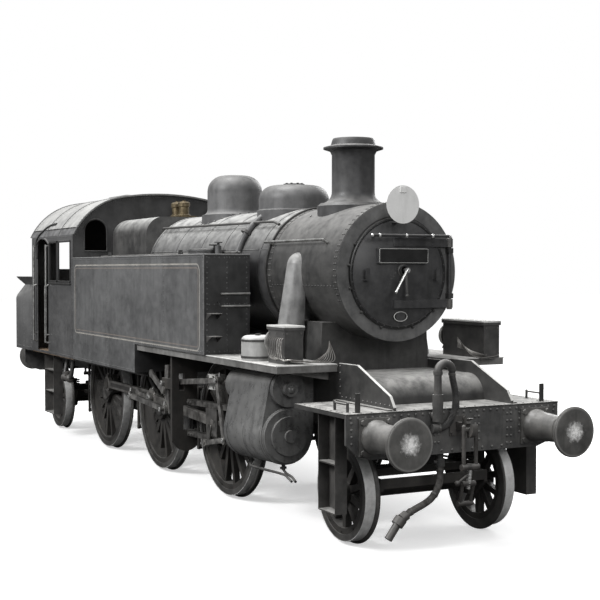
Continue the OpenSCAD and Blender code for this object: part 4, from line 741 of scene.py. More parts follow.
class Heads:
    """Rivets or bolt heads over one body, set by a geometry node tree."""

    trees: dict[Head, bpy.types.NodeTree] = {}

    def __init__(self, name: str, head: Head = Head.RIVET) -> None:
        """Starts an empty set.

        Args:
            name: The piece's name.
            head: The shape of each head.
        """
        self.name = name
        self.head = head
        self.spots: list[Vector] = []
        self.facings: list[Vector] = []

    def line(self, start: Point, end: Point, pitch: float, facing: Point, mirror: bool = False) -> None:
        """Adds a straight row, spaced evenly near a pitch."""
        a, b = Vector(start), Vector(end)
        count = max(1, round((b - a).length / pitch))
        for i in range(count + 1):
            self.one(tuple(a.lerp(b, i / count)), facing, mirror)

    def one(self, spot: Point, facing: Point, mirror: bool = False) -> None:
        """Adds a single head, and its mirror image if asked."""
        self.spots.append(at(*spot))
        self.facings.append(Vector(facing).normalized())
        if mirror:
            self.one((spot[0], -spot[1], spot[2]), (facing[0], -facing[1], facing[2]))

    def ring(self, centre: Point, radius: float, count: int, axis: str, facing: float = 1.0,
             start: float = 0.0, sweep: float = 360.0, outward: bool = False) -> None:
        """Adds a ring of heads.

        Args:
            centre: The ring's centre.
            radius: Its radius.
            count: How many heads it has.
            axis: The ring's axis, x, y or z.
            facing: 1 or -1, the way heads face along the axis.
            start: The first head's angle in degrees.
            sweep: How far round the ring goes.
            outward: Whether heads face away from the axis.
        """
        u, v, w = {"x": ((0, 1, 0), (0, 0, 1), (1, 0, 0)), "y": ((1, 0, 0), (0, 0, 1), (0, 1, 0)),
                   "z": ((1, 0, 0), (0, 1, 0), (0, 0, 1))}[axis]
        for i in range(count):
            a = math.radians(start + sweep * i / (count if sweep >= 360 else max(1, count - 1)))
            out = Vector(u) * math.cos(a) + Vector(v) * math.sin(a)
            self.one(tuple(Vector(centre) + out * radius), tuple(out if outward else Vector(w) * facing))

    @classmethod
    def tree(cls, head: Head) -> bpy.types.NodeTree:
        """Returns the node tree that sets a kind of head."""
        if head in cls.trees:
            return cls.trees[head]
        tree = bpy.data.node_groups.new(f"set_{head.value}s", "GeometryNodeTree")
        tree.interface.new_socket("Geometry", in_out="INPUT", socket_type="NodeSocketGeometry")
        for label, kind in (("Head radius", "NodeSocketFloat"), ("Head height", "NodeSocketFloat"),
                            ("Finish", "NodeSocketMaterial")):
            tree.interface.new_socket(label, in_out="INPUT", socket_type=kind)
        tree.interface.new_socket("Geometry", in_out="OUTPUT", socket_type="NodeSocketGeometry")
        add, join = tree.nodes.new, tree.links.new
        given, result = add("NodeGroupInput"), add("NodeGroupOutput")
        if head is Head.RIVET:
            shape = add("GeometryNodeMeshUVSphere")
            shape.inputs["Segments"].default_value = 8
            shape.inputs["Rings"].default_value = 5
            shape.inputs["Radius"].default_value = 1.0
        else:
            shape = add("GeometryNodeMeshCylinder")
            shape.inputs["Vertices"].default_value = 6
            shape.inputs["Radius"].default_value = 1.0
            shape.inputs["Depth"].default_value = 2.0
        size = add("ShaderNodeCombineXYZ")
        join(given.outputs["Head radius"], size.inputs[0])
        join(given.outputs["Head radius"], size.inputs[1])
        join(given.outputs["Head height"], size.inputs[2])
        facing = add("GeometryNodeInputNamedAttribute")
        facing.data_type = "FLOAT_VECTOR"
        facing.inputs["Name"].default_value = "facing"
        turn = add("FunctionNodeAlignRotationToVector")
        turn.axis = "Z"
        join(facing.outputs["Attribute"], turn.inputs["Vector"])
        spread = add("GeometryNodeInstanceOnPoints")
        join(given.outputs["Geometry"], spread.inputs["Points"])
        join(shape.outputs["Mesh"], spread.inputs["Instance"])
        join(turn.outputs["Rotation"], spread.inputs["Rotation"])
        join(size.outputs[0], spread.inputs["Scale"])
        real = add("GeometryNodeRealizeInstances")
        join(spread.outputs["Instances"], real.inputs["Geometry"])
        dress = add("GeometryNodeSetMaterial")
        join(real.outputs["Geometry"], dress.inputs["Geometry"])
        join(given.outputs["Finish"], dress.inputs["Material"])
        join(dress.outputs["Geometry"], result.inputs["Geometry"])
        cls.trees[head] = tree
        return tree

    def make(self, body: Body, finish: str, radius: float, height: float) -> bpy.types.Object:
        """Makes the heads one plain mesh that rides on a body.

        Args:
            body: The body that they ride on.
            finish: Their finish.
            radius: A head's radius in millimetres.
            height: How far it stands out.

        Returns:
            The finished object.
        """
        mesh = bpy.data.meshes.new(self.name)
        mesh.from_pydata([tuple(s) for s in self.spots], [], [])
        mark = mesh.attributes.new("facing", "FLOAT_VECTOR", "POINT")
        mark.data.foreach_set("vector", [c for f in self.facings for c in f])
        piece = bpy.data.objects.new(self.name, mesh)
        bpy.context.scene.collection.objects.link(piece)
        tree = self.tree(self.head)
        setter = piece.modifiers.new("heads", "NODES")
        setter.node_group = tree
        values = {"Head radius": radius * MM, "Head height": height * MM, "Finish": LOOKS.by_name[finish][0]}
        for item in tree.interface.items_tree:
            if item.in_out == "INPUT" and item.name in values:
                setter[item.identifier] = values[item.name]
        bake_modifiers(piece)
        for face in piece.data.polygons:
            face.use_smooth = self.head is Head.RIVET
        LOOKS.apply(piece, finish)
        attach(piece, body.value)
        LOG.info("%s: %d heads", self.name, len(self.spots))
        return piece


# ---- the frame's own shapes, smoothed and given broken edges ----


class Dresser:
    """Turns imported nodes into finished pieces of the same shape."""

    def __init__(self) -> None:
        """Reads each node's slot and body from the record."""
        record = frame["record"]
        self.slots = {row["node"]: row["material_slot"] for row in record["subparts"]}
        self.bodies = {n: b for b, names in record["behaviour"]["bodies"].items() for n in names}

    def dress(self, node: str, bevel: float = 0.0, smooth: float = 32.0) -> bpy.types.Object:
        """Copies a node, merges it, smooths it, and breaks its edges.

        Args:
            node: The node's name.
            bevel: The width of its broken edges in millimetres, or 0.
            smooth: Edges sharper than this many degrees stay sharp.

        Returns:
            The piece that stands for the node.
        """
        mesh = frame["nodes"][node].data.copy()
        bm = bmesh.new()
        bm.from_mesh(mesh)
        bmesh.ops.remove_doubles(bm, verts=bm.verts[:], dist=0.00002)
        bmesh.ops.dissolve_degenerate(bm, dist=0.00001, edges=bm.edges[:])
        if bevel:
            bmesh.ops.dissolve_limit(bm, angle_limit=math.radians(0.6), verts=bm.verts[:], edges=bm.edges[:])
        for face in bm.faces:
            face.smooth = True
        for edge in bm.edges:
            edge.smooth = len(edge.link_faces) == 2 and edge.calc_face_angle(0.0) < math.radians(smooth)
        bm.to_mesh(mesh)
        bm.free()
        piece = bpy.data.objects.new(f"{node}_finished", mesh)
        bpy.context.scene.collection.objects.link(piece)
        mesh.materials.clear()
        mesh.materials.append(LOOKS.by_slot[self.slots[node]])
        if bevel:
            break_edges(piece, bevel, 2, 35.0)
        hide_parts(node)
        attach(piece, self.bodies[node])
        return piece


# ---- sub-assemblies ----


@dataclass
class Camera:
    """The view from ahead of the right-hand side."""

    place: Point = (14.259, -6.2485, 2.534)
    facing: Point = (-0.8866, 0.4616, -0.0250)
    lens: float = 72.0

    def build(self) -> None:
        """Makes the camera and has the scene look through it."""
        data = bpy.data.cameras.new("viewpoint")
        data.lens = self.lens
        data.sensor_width = 36.0
        data.clip_end = 200.0
        camera = bpy.data.objects.new("viewpoint", data)
        camera.location = self.place
        camera.rotation_euler = Vector(self.facing).to_track_quat("-Z", "Y").to_euler()
        bpy.context.scene.collection.objects.link(camera)
        bpy.context.scene.camera = camera


@dataclass
class Studio:
    """Pale floor, soft lamps and a white surrounding."""

    sky: float = 0.16
    zenith: float = 1.25
    floor_tone: float = 0.8
    lamps: tuple = (("key_lamp", (3.0, -15.0, 11.0), 6.0, 2700.0),
                    ("front_lamp", (17.0, -2.0, 7.0), 6.0, 520.0),
                    ("far_lamp", (-6.0, 12.0, 9.0), 7.0, 900.0),
                    ("top_lamp", (-1.0, -2.0, 16.0), 6.0, 2100.0))

    def build(self) -> None:
        """Makes the floor, the surroundings and the lamps."""
        scene = bpy.context.scene
        scene.view_settings.view_transform = "Standard"
        world = bpy.data.worlds.new("surroundings")
        scene.world = world
        world.use_nodes = True
        tree = world.node_tree
        tree.nodes.clear()
        ray = tree.nodes.new("ShaderNodeLightPath")
        seen = tree.nodes.new("ShaderNodeBackground")
        seen.inputs[1].default_value = 1.0
        seen.inputs[0].default_value = (1, 1, 1, 1)
        lit = tree.nodes.new("ShaderNodeBackground")
        way = tree.nodes.new("ShaderNodeTexCoord")
        parts = tree.nodes.new("ShaderNodeSeparateXYZ")
        tree.links.new(way.outputs["Generated"], parts.inputs[0])
        height = Val(tree, parts.outputs["Z"])
        tree.links.new((height.ramp(-0.1, 0.95) * (self.zenith - self.sky) + self.sky).socket, lit.inputs[1])
        pick = tree.nodes.new("ShaderNodeMixShader")
        output = tree.nodes.new("ShaderNodeOutputWorld")
        tree.links.new(ray.outputs["Is Camera Ray"], pick.inputs[0])
        tree.links.new(lit.outputs[0], pick.inputs[1])
        tree.links.new(seen.outputs[0], pick.inputs[2])
        tree.links.new(pick.outputs[0], output.inputs[0])
        self.floor()
        for name, spot, size, power in self.lamps:
            data = bpy.data.lights.new(name, "AREA")
            data.shape = "DISK"
            data.size = size
            data.energy = power
            lamp = bpy.data.objects.new(name, data)
            lamp.location = spot
            lamp.rotation_euler = (Vector((0, 0, 1.5)) - Vector(spot)).to_track_quat("-Z", "Y").to_euler()
            scene.collection.objects.link(lamp)

    def floor(self) -> None:
        """Makes the floor, which shows pale but keeps the engine's shadow."""
        bm = bmesh.new()
        bmesh.ops.create_grid(bm, x_segments=1, y_segments=1, size=80.0)
        for vert in bm.verts:
            vert.co.z = -0.001
        mesh = bpy.data.meshes.new("floor")
        bm.to_mesh(mesh)
        bm.free()
        floor = bpy.data.objects.new("floor", mesh)
        bpy.context.scene.collection.objects.link(floor)
        shade = Shader("floor_white")
        shade.feed(Base_Color=(self.floor_tone, self.floor_tone, self.floor_tone, 1.0), Roughness=0.9,
                   Specular_IOR_Level=0.1)
        ray = shade.node("ShaderNodeLightPath", {}, {})
        glow = shade.node("ShaderNodeEmission", {}, {"Color": (1, 1, 1, 1), "Strength": 0.5})
        both = shade.node("ShaderNodeAddShader", {}, {0: shade.surface.outputs[0], 1: glow.outputs[0]})
        dark = shade.node("ShaderNodeBsdfDiffuse", {}, {"Color": (0.07, 0.07, 0.07, 1)})
        pick = shade.node("ShaderNodeMixShader", {}, {
            0: ray.outputs["Is Camera Ray"], 1: dark.outputs[0], 2: both.outputs[0]})
        shade.tree.links.new(pick.outputs[0], shade.output.inputs["Surface"])
        mesh.materials.append(shade.material)


VACUUM_ROUTE = ((5400, -106, 1600), (5400, -106, 1575), (5401, -101, 1540), (5403, -90, 1490),
                (5405, -79, 1440),
                (5407, -73, 1390), (5408, -72, 1340), (5408, -76, 1290), (5406, -88, 1235),
                (5402, -108, 1185),
                (5395, -136, 1140), (5386, -167, 1110), (5376, -198, 1097), (5370, -215, 1095),
                (5370, -240, 1095))
HEAT_ROUTE = ((5250, -130, 730), (5251, -130, 690), (5254, -132, 645), (5259, -140, 600), (5266, -156, 557),
              (5275, -182, 518), (5286, -216, 484), (5298, -257, 456), (5310, -303, 434), (5321, -352, 416),
              (5330, -403, 400), (5337, -454, 384), (5342, -503, 366), (5345, -548, 344))


@dataclass
class Hoses:
    """The vacuum hose and the steam heating hose at the front."""

    vacuum_d: float = 62.0
    heat_d: float = 64.0
    rib_pitch: float = 13.0
    rib_depth: float = 2.2

    def evenly(self, route: Sequence[Point], step: float) -> list[Point]:
        """Returns a route's points at even steps."""
        fine = curve_through(route, 24)
        result, left = [fine[0]], step
        for a, b in zip(fine, fine[1:]):
            a, b = Vector(a), Vector(b)
            while (b - a).length >= left:
                a = a + (b - a).normalized() * left
                result.append(tuple(a))
                left = step
            left -= (b - a).length
        if (Vector(result[-1]) - Vector(fine[-1])).length > step * 0.4:
            result.append(fine[-1])
        else:
            result[-1] = fine[-1]
        return result

    def hose(self, name: str, node: str, route: Sequence[Point], diameter: float, finish: str, rib: float) -> None:
        """Args:
            name: The piece's name.
            node: The node that it stands for.
            route: Its centre line.
            diameter: Its diameter in millimetres.
            finish: Its finish.
            rib: The depth of its ribs in millimetres.
        """
        way = self.evenly(route, self.rib_pitch / 4)
        wave = [diameter / 2 - rib * (0.5 - 0.5 * math.cos(math.tau * i / 4)) for i in range(len(way))]
        maker = Maker(name)
        maker.tube(way, wave, 20)
        piece = maker.make(Body.ENGINE, finish)
        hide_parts(node)
        path = [tuple(at(*p)) for p in curve_through(route, 4)]
        tuple(at(*route[0]))

    def build(self) -> None:
        """Makes both hoses and their clips."""
        self.hose("front_vacuum_hose", "vacuum_hose", VACUUM_ROUTE, self.vacuum_d, "hose_rubber",
                  self.rib_depth)
        self.hose("front_heating_hose", "steam_heat_hose", HEAT_ROUTE, self.heat_d, "hose_canvas", 0.8)
        clips = Maker("hose_clips")
        for route, spots, radius in ((VACUUM_ROUTE, (1, -2), 34.5), (HEAT_ROUTE, (1, 6, -2), 35.0)):
            for i in spots:
                way = Vector(route[i]) - Vector(route[i - 1])
                start = Vector(route[i]) - way.normalized() * 10
                clips.turned([(0, radius - 2), (1, radius), (19, radius), (20, radius - 2)], tuple(start),
                             tuple(way), 24)
        clips.make(Body.ENGINE, "coupling_iron")


@dataclass
class Boiler:
    """Bands, seams, cladding and top fittings of the boiler."""

    centre: float = 2487.0
    back_x: float = -693.0
    front_x: float = 2785.0
    back_r: float = 724.0
    front_r: float = 690.0
    smokebox_x: tuple[float, float] = (2785.0, 4311.0)
    smokebox_r: float = 675.0
    bands: tuple[float, ...] = (-668.0, 140.0, 900.0, 1560.0, 2560.0)

    def radius(self, x: float) -> float:
        """Returns the barrel's radius at a place."""
        return self.back_r + (self.front_r - self.back_r) * (x - self.back_x) / (self.front_x - self.back_x)

    def build(self) -> None:
        """Makes the pieces of the boiler."""
        bands = Maker("boiler_bands")
        for x in self.bands:
            r = self.radius(x)
            bands.turned([(0, r - 2), (0, r + 5), (48, r + 4.5), (48, r - 3)], (x, 0, self.centre), (1, 0, 0),
                         96,
                         loop=True)
        bands.make(Body.ENGINE, "boiler_black", 1.5)
        rings = Maker("smokebox_rings")
        r = self.smokebox_r
        for x, wide, proud in ((self.smokebox_x[0] - 8, 26, 26), (self.smokebox_x[1] - 74, 76, 7),
                               (self.smokebox_x[0] + 40, 66, 5)):
            rings.turned([(0, r - 3), (0, r + proud - 3), (3, r + proud), (wide - 3, r + proud),
                          (wide, r + proud - 3), (wide, r - 3)], (x, 0, self.centre), (1, 0, 0), 96,
                         loop=True)
        rings.make(Body.ENGINE, "smokebox_black")
        face = Maker("smokebox_face_ring")
        face.turned([(0, 549), (3, 552), (3, r + 1), (0, r + 4), (-14, r + 4), (-14, 549)],
                    (self.smokebox_x[1] + 0.5, 0, self.centre - 3), (1, 0, 0), 96, loop=True)
        face.make(Body.ENGINE, "ring_grey")
        heads = Heads("smokebox_rivets")
        for x, proud in ((4258, 7), (4290, 7), (2842, 5), (2874, 5)):
            heads.ring((x, 0, self.centre), r + proud, 46, "x", start=-24, sweep=228, outward=True)
        low = math.radians(-12)
        y, z = r * math.cos(low), self.centre + r * math.sin(low)
        heads.line((2900, -y, z), (4230, -y, z), 62, (0, -1, -0.2), True)
        heads.make(Body.ENGINE, "smokebox_black", 10.5, 6.5)
        seams = Maker("cladding_seams")
        seam_turn = math.radians(20)
        for side in (-1, 1):
            for x0, x1 in ((-640, 135), (190, 895), (950, 1555), (1610, 2555), (2610, 2770)):
                spots = []
                for x in (x0, x1):
                    rr = self.radius(x) + 1
                    spots.append((x, side * rr * math.cos(seam_turn), self.centre + rr * math.sin(seam_turn)))
                seams.rod(spots[0], spots[1], 4, 8)
        seams.make(Body.ENGINE, "boiler_black")
        self.fittings()

    def fittings(self) -> None:
        """Makes plugs, flange bolts and the feed caps."""
        bolts = Heads("boiler_bolts", Head.BOLT)
        dome_x, flange_r, flange_bolts = 483, 418, 24
        for i in range(flange_bolts):
            a = math.tau * i / flange_bolts
            y = flange_r * math.sin(a)
            z = self.centre + math.sqrt(max(0, (self.radius(dome_x) + 1) ** 2 - y * y))
            bolts.one((dome_x + flange_r * math.cos(a), y, z), (0, y, z - self.centre))
        bolts.ring((2110, 0, 3480), 92, 8, "z")
        for y in (-640, 640):
            bolts.one((3180, y * 0.55, self.centre + math.sqrt(675 ** 2 - (y * 0.55) ** 2)),
                      (0, y * 0.55, 560))
        bolts.make(Body.ENGINE, "boiler_black", 13, 9)
        pipes = Maker("boiler_pipes")
        for side in (-1, 1):
            r = 708
            pipes.tube(curve_through([(2110 + 10, side * (r + 36) * math.cos(math.radians(a)),
                                       self.centre + (r + 36) * math.sin(math.radians(a))) for a in (4, -8, -22)], 4),
                       36, 14)
            for a in (36, 6):
                way = (0, -side * math.sin(math.radians(a)), math.cos(math.radians(a)))
                pipes.turned([(-16, 36), (-16, 58), (16, 58), (16, 36)],
                             (2110, side * (r + 34) * math.cos(math.radians(a)),
                              self.centre + (r + 34) * math.sin(math.radians(a))), way, 24, loop=True)
        # ejector pipe low along the right side of the boiler, and its joint at the smokebox
        pipes.tube(curve_through([(-640, -520, 3050), (200, -518, 3046), (1500, -512, 3036),
                                  (2500, -508, 3028),
                                  (2700, -520, 3012), (2795, -530, 2990)], 4), 16, 10)
        pipes.make(Body.ENGINE, "pipe_black")


@dataclass
class SmokeboxDoor:
    """Handles, plates, straps and rails on the smokebox door."""

    centre: float = 2472.0
    top_x: float = 4411.0
    dish_r: float = 1805.7
    half: tuple[float, float] = (280.0, 72.5)

    def dish(self, r: float) -> float:
        """Returns how far forward the dish stands at a radius."""
        return self.top_x - r * r / (2 * self.dish_r)

    def build(self) -> None:
        """Makes the pieces of the door."""
        z = self.centre
        ring = Maker("door_ring")
        ring.turned([(18, 514), (24, 520), (25, 536), (20, 545.5), (0, 545.5), (0, 541)], (4316, 0, z),
                    (1, 0, 0), 96,
                    loop=True)
        ring.make(Body.DOOR, "plate_blank")
        handles = Maker("door_handles")
        hub = z + 30
        handles.rod((self.top_x + 74, 0, hub), (self.top_x + 100, 0, hub), 24, 20)
        handles.rod((self.top_x + 86, 6, hub + 14), (self.top_x + 97, -134, z - 178), 15.5, 14, 11.5)
        handles.ball((self.top_x + 97, -134, z - 178), 16)
        handles.make(Body.DOOR, "clean_steel")
        dark = Maker("door_dart")
        dark.turned([(0, 60), (6, 62), (12, 58), (16, 46), (34, 44), (38, 38)], (self.top_x - 2, 0, hub),
                    (1, 0, 0), 32)
        dark.rod((self.top_x + 57, 1, hub + 8), (self.top_x + 64, 11, z - 214), 15.5, 14, 12)
        dark.ball((self.top_x + 64, 11, z - 214), 17)
        dark.make(Body.DOOR, "buffer_iron")
        plate = Maker("number_place")
        y, h = self.half
        mid = z + 168.5
        plate.plate(self.rounded(y, h, 14, mid), "x", self.top_x + 18, self.top_x + 25)
        plate.make(Body.DOOR, "plate_blank", 1.5)
        rim = Maker("number_place_rim")
        rim.tube([(self.top_x + 25, b, c) for b, c in self.rounded(y - 5, h - 5, 10, mid)], 3.0, 6,
                 closed=True)
        rim.make(Body.DOOR, "rim_pale")
        oval = Maker("oval_place")
        x = self.dish(420) + 9
        oval.turned([(0, 78), (6, 80), (9, 76), (9, 70), (5, 68), (5, 0.5)], (x - 6, 0, z - 420), (1, 0, 0),
                    40)
        for vert in oval.bm.verts:
            vert.co.z = (vert.co.z - RAIL - (z - 420) * MM) * 0.62 + RAIL + (z - 420) * MM
        oval.make(Body.DOOR, "plate_blank")
        rim = Maker("oval_place_rim")
        rim.tube([(x + 3, 74 * math.cos(t), z - 420 + 46 * math.sin(t))
                  for t in (math.tau * i / 40 for i in range(40))], 4.2, 8, closed=True)
        rim.make(Body.DOOR, "rim_pale")
        self.straps(z)
        rail = Maker("door_rail_ends")
        top = z + 363
        for y0 in (-381, 500):
            rail.ball((4480, y0, top), 17)
        for y0 in (-300, 0, 300):
            rail.ball((4480, y0, top), 21)
        rail.make(Body.DOOR, "clean_steel")

    def rounded(self, y: float, h: float, corner: float, mid: float) -> list[tuple[float, float]]:
        """Returns a rounded oblong round a height."""
        return (arc((y - corner, mid + h - corner), corner, 0, 90, 5) + arc((corner - y, mid + h - corner),
                                                                            corner, 90, 180, 5)
                + arc((corner - y, mid - h + corner), corner, 180, 270, 5)
                + arc((y - corner, mid - h + corner), corner, 270, 360, 5))

    def straps(self, z: float) -> None:
        """Makes the hinge straps' rivets and knuckles, the ring's rivets and the door dogs."""
        heads = Heads("door_rivets")
        for s in (-1, 1):
            for i in range(7):
                y = -60 + 86 * i
                r = math.hypot(y, 300)
                if r < 505:
                    for dz in (-22, 22):
                        heads.one((self.dish(math.hypot(y, 300 + dz)) + 10, y, z + s * (300 + dz)), (1, 0, 0))
        heads.ring((4337, 0, z), 529, 40, "x")
        heads.make(Body.DOOR, "door_black", 9.5, 6)
        knuckles = Maker("door_knuckles")
        for s in (-1, 1):
            knuckles.turned([(0, 30), (4, 34), (86, 34), (90, 30)], (4345, 590, z + s * 300 - 45), (0, 0, 1),
                            24)
        for zz in (z - 345 - 14, z + 345):
            knuckles.turned([(0, 24), (2, 27), (12, 27), (14, 22)], (4345, 590, zz), (0, 0, 1), 20)
        knuckles.make(Body.DOOR, "buffer_iron")
        dogs = Maker("door_dogs")
        for a in (150, 172, 195, 222, 250, 288, 318):
            b = math.radians(a)
            y, zz = 556 * math.cos(b), z + 556 * math.sin(b)
            dogs.rod((4312, y, zz), (4334, y, zz), 15, 6)
            dogs.rod((4330, y, zz), (4334 + 14, y, zz), 8, 10)
        dogs.make(Body.ENGINE, "smokebox_black")


@dataclass
class Chimney:
    """Rim line and base bolts of the chimney."""

    x: float = 3453.0
    top: float = 3862.0
    radius: float = 223.0

    def build(self) -> None:
        """Makes the chimney's rim line and the bolts round its base."""
        rim = Maker("chimney_rim_line")
        rim.turned([(-96, self.radius + 2), (-92, self.radius + 8), (-84, self.radius + 8),
                    (-80, self.radius + 2)],
                   (self.x, 0, self.top), (0, 0, 1), 72, loop=True)
        rim.make(Body.ENGINE, "chimney_black")
        bolts = Heads("chimney_bolts", Head.BOLT)
        for i in range(16):
            a = math.tau * (i + 0.5) / 16
            y = 330 * math.sin(a)
            bolts.one((self.x + 330 * math.cos(a), y, 2487 + math.sqrt(682 ** 2 - y * y)), (0, y, 600))
        bolts.make(Body.ENGINE, "chimney_black", 12, 10)


@dataclass
class FrontEnd:
    """Rivets, edges, bolts and small fittings of the beam, the platform and the buffers."""

    beam_x: float = 5330.0
    frame_y: float = 654.0
    platform_z: float = 1262.0
    buffer: tuple[float, float] = (870.0, 1054.0)

    def build(self) -> None:
        """Makes the pieces of the front end, and the like ones of the rear beam."""
        heads = Heads("beam_rivets")
        for s in (1, -1):
            x = s * self.beam_x
            face = (s, 0, 0)
            heads.line((x, -1110, 1222), (x, 1110, 1222), 74, face)
            for y in (603, 560, 700, 742):
                heads.line((x, y, 905 if y < 650 else 1000), (x, y, 1180), 68, face, True)
            heads.line((x, -500, 885), (x, 500, 885), 110, face)
            for y in (200, 240):
                heads.line((x, y, 960), (x, y, 1170), 70, face, True)
            heads.line((x, 1100, 1000), (x, 1100, 1180), 60, face, True)
        heads.make(Body.ENGINE, "beam_black", 15, 10)
        heads = Heads("platform_rivets")
        heads.line((4420, self.frame_y + 26, self.platform_z + 1),
                   (5270, self.frame_y + 26, self.platform_z + 1), 85,
                   (0, 0, 1), True)
        heads.line((4400, 1120, self.platform_z + 1), (5300, 1120, self.platform_z + 1), 100, (0, 0, 1), True)
        heads.line((5296, -1100, self.platform_z + 1), (5296, 1100, self.platform_z + 1), 110, (0, 0, 1))
        heads.line((4380, self.frame_y, 1300), (5230, self.frame_y, 1300), 80, (0, 1, 0), True)
        heads.line((4340, self.frame_y, 1330), (4340, self.frame_y, 1590), 64, (0, 1, 0), True)
        heads.make(Body.ENGINE, "plate_black", 10, 6)
        self.frame_edges()
        self.buffers()
        self.hooks()
        self.lamp_irons()
        angles = Maker("beam_angles")
        for s in (-1, 1):
            angles.plate([(self.frame_y, 1250), (self.frame_y + 62, 1250), (self.frame_y + 62, 960),
                          (self.frame_y, 960)], "x", self.beam_x - 32 - 12, self.beam_x - 32)
            angles.plate([(4300, 1262), (5290, 1262), (5290, 1274), (4300, 1274)], "y", self.frame_y,
                         self.frame_y + 52)
            for vert in angles.bm.verts:
                vert.co.y *= -1
        angles.make(Body.ENGINE, "plate_black", 1.5)

    def frame_edges(self) -> None:
        """Makes the pale edges of the frame extensions and of the running plates: worn paint, and also a painted
        highlight along them.
        """
        top = [(4318, 1618), (4661, 1620.5), (5233, 1385.5), (5300, 1290.5)]
        edges = Maker("frame_edge_wear")
        for (x0, z0), (x1, z1) in zip(top, top[1:]):
            edges.plate([(x0, z0 - 4), (x1, z1 - 4), (x1, z1 + 1.2), (x0, z0 + 1.2)], "y", 628.2, 654.8)
        edges.mirrored()
        edges.make(Body.ENGINE, "edge_wear_and_highlight", 0.6)
        plates = Maker("running_plate_edges")
        plates.tube([(490, 1301, 1604), (4282, 1301, 1604)], 7, 8)
        plates.tube([(4288, 660, 1604), (4288, 1300, 1604)], 7, 8)
        plates.mirrored()
        plates.make(Body.ENGINE, "edge_wear_and_highlight")

    def buffers(self) -> None:
        """Makes bolts, collars and greasy faces of the four buffers."""
        y, z = self.buffer
        bolts = Heads("buffer_bolts", Head.BOLT)
        grease = Maker("buffer_faces")
        collars = Maker("buffer_collars")
        for s in (1, -1):
            for side in (-1, 1):
                for dy in (-132, 132):
                    for dz in (-132, 132):
                        bolts.one((s * (self.beam_x + 25), side * y + dy, z + dz), (s, 0, 0))
                collars.turned([(0, 84), (3, 94), (22, 92), (26, 84)], (s * (self.beam_x + 150), side * y, z),
                               (s, 0, 0), 40, loop=False)
                collars.turned([(-6, 112), (0, 134), (16, 134), (22, 112)],
                               (s * (self.beam_x + 404), side * y, z),
                               (s, 0, 0), 40, loop=False)
                grease.turned([(-12, 0.5), (0.7, 0.5), (0.7, 60), (0.2, 130), (-1.6, 190), (-4.6, 219),
                               (-12, 219)],
                              (s * (self.beam_x + 582.2), side * y, z), (s, 0, 0), 64)
        bolts.make(Body.ENGINE, "buffer_iron", 24, 22)
        collars.make(Body.ENGINE, "buffer_iron")
        grease.make(Body.ENGINE, "buffer_face")

    def hooks(self) -> None:
        """Makes the hook plate bolts and screw threads of both couplings."""
        bolts = Heads("hook_bolts", Head.BOLT)
        threads = Maker("coupling_threads")
        for s in (1, -1):
            for dy in (-66, 66):
                for dz in (-66, 66):
                    bolts.one((s * (self.beam_x + 14), dy, 1100 + dz), (s, 0, 0))
            a = Vector((self.beam_x + 198, 0, 740))
            b = Vector((self.beam_x + 168, 0, 560))
            for i in range(15):
                spot = a.lerp(b, i / 14)
                way = (b - a).normalized()
                threads.turned([(-4, 21), (0, 25.5), (4, 21)], (s * spot.x, 0, spot.z), (s * way.x, 0, way.z),
                               20)
        bolts.make(Body.ENGINE, "coupling_iron", 17, 15)
        threads.make(Body.ENGINE, "clean_steel")

    def lamp_irons(self) -> None:
        """Makes the tall rear lamp irons and the middle one on the front beam."""
        irons = Maker("lamp_irons")
        for x, y, z, h, s in ((5325, 0, 1262, 150, 1), (-5280, 700, 2400, 150, -1),
                              (-5280, -700, 2400, 150, -1),
                              (-5280, 0, 2400, 150, -1)):
            low = z - 90 if s < 0 else z - 2
            irons.box(min(x, x + s * 9), max(x, x + s * 9), y - 24, y + 24, low, z + h)
        irons.make(Body.ENGINE, "plate_black", 1.5)


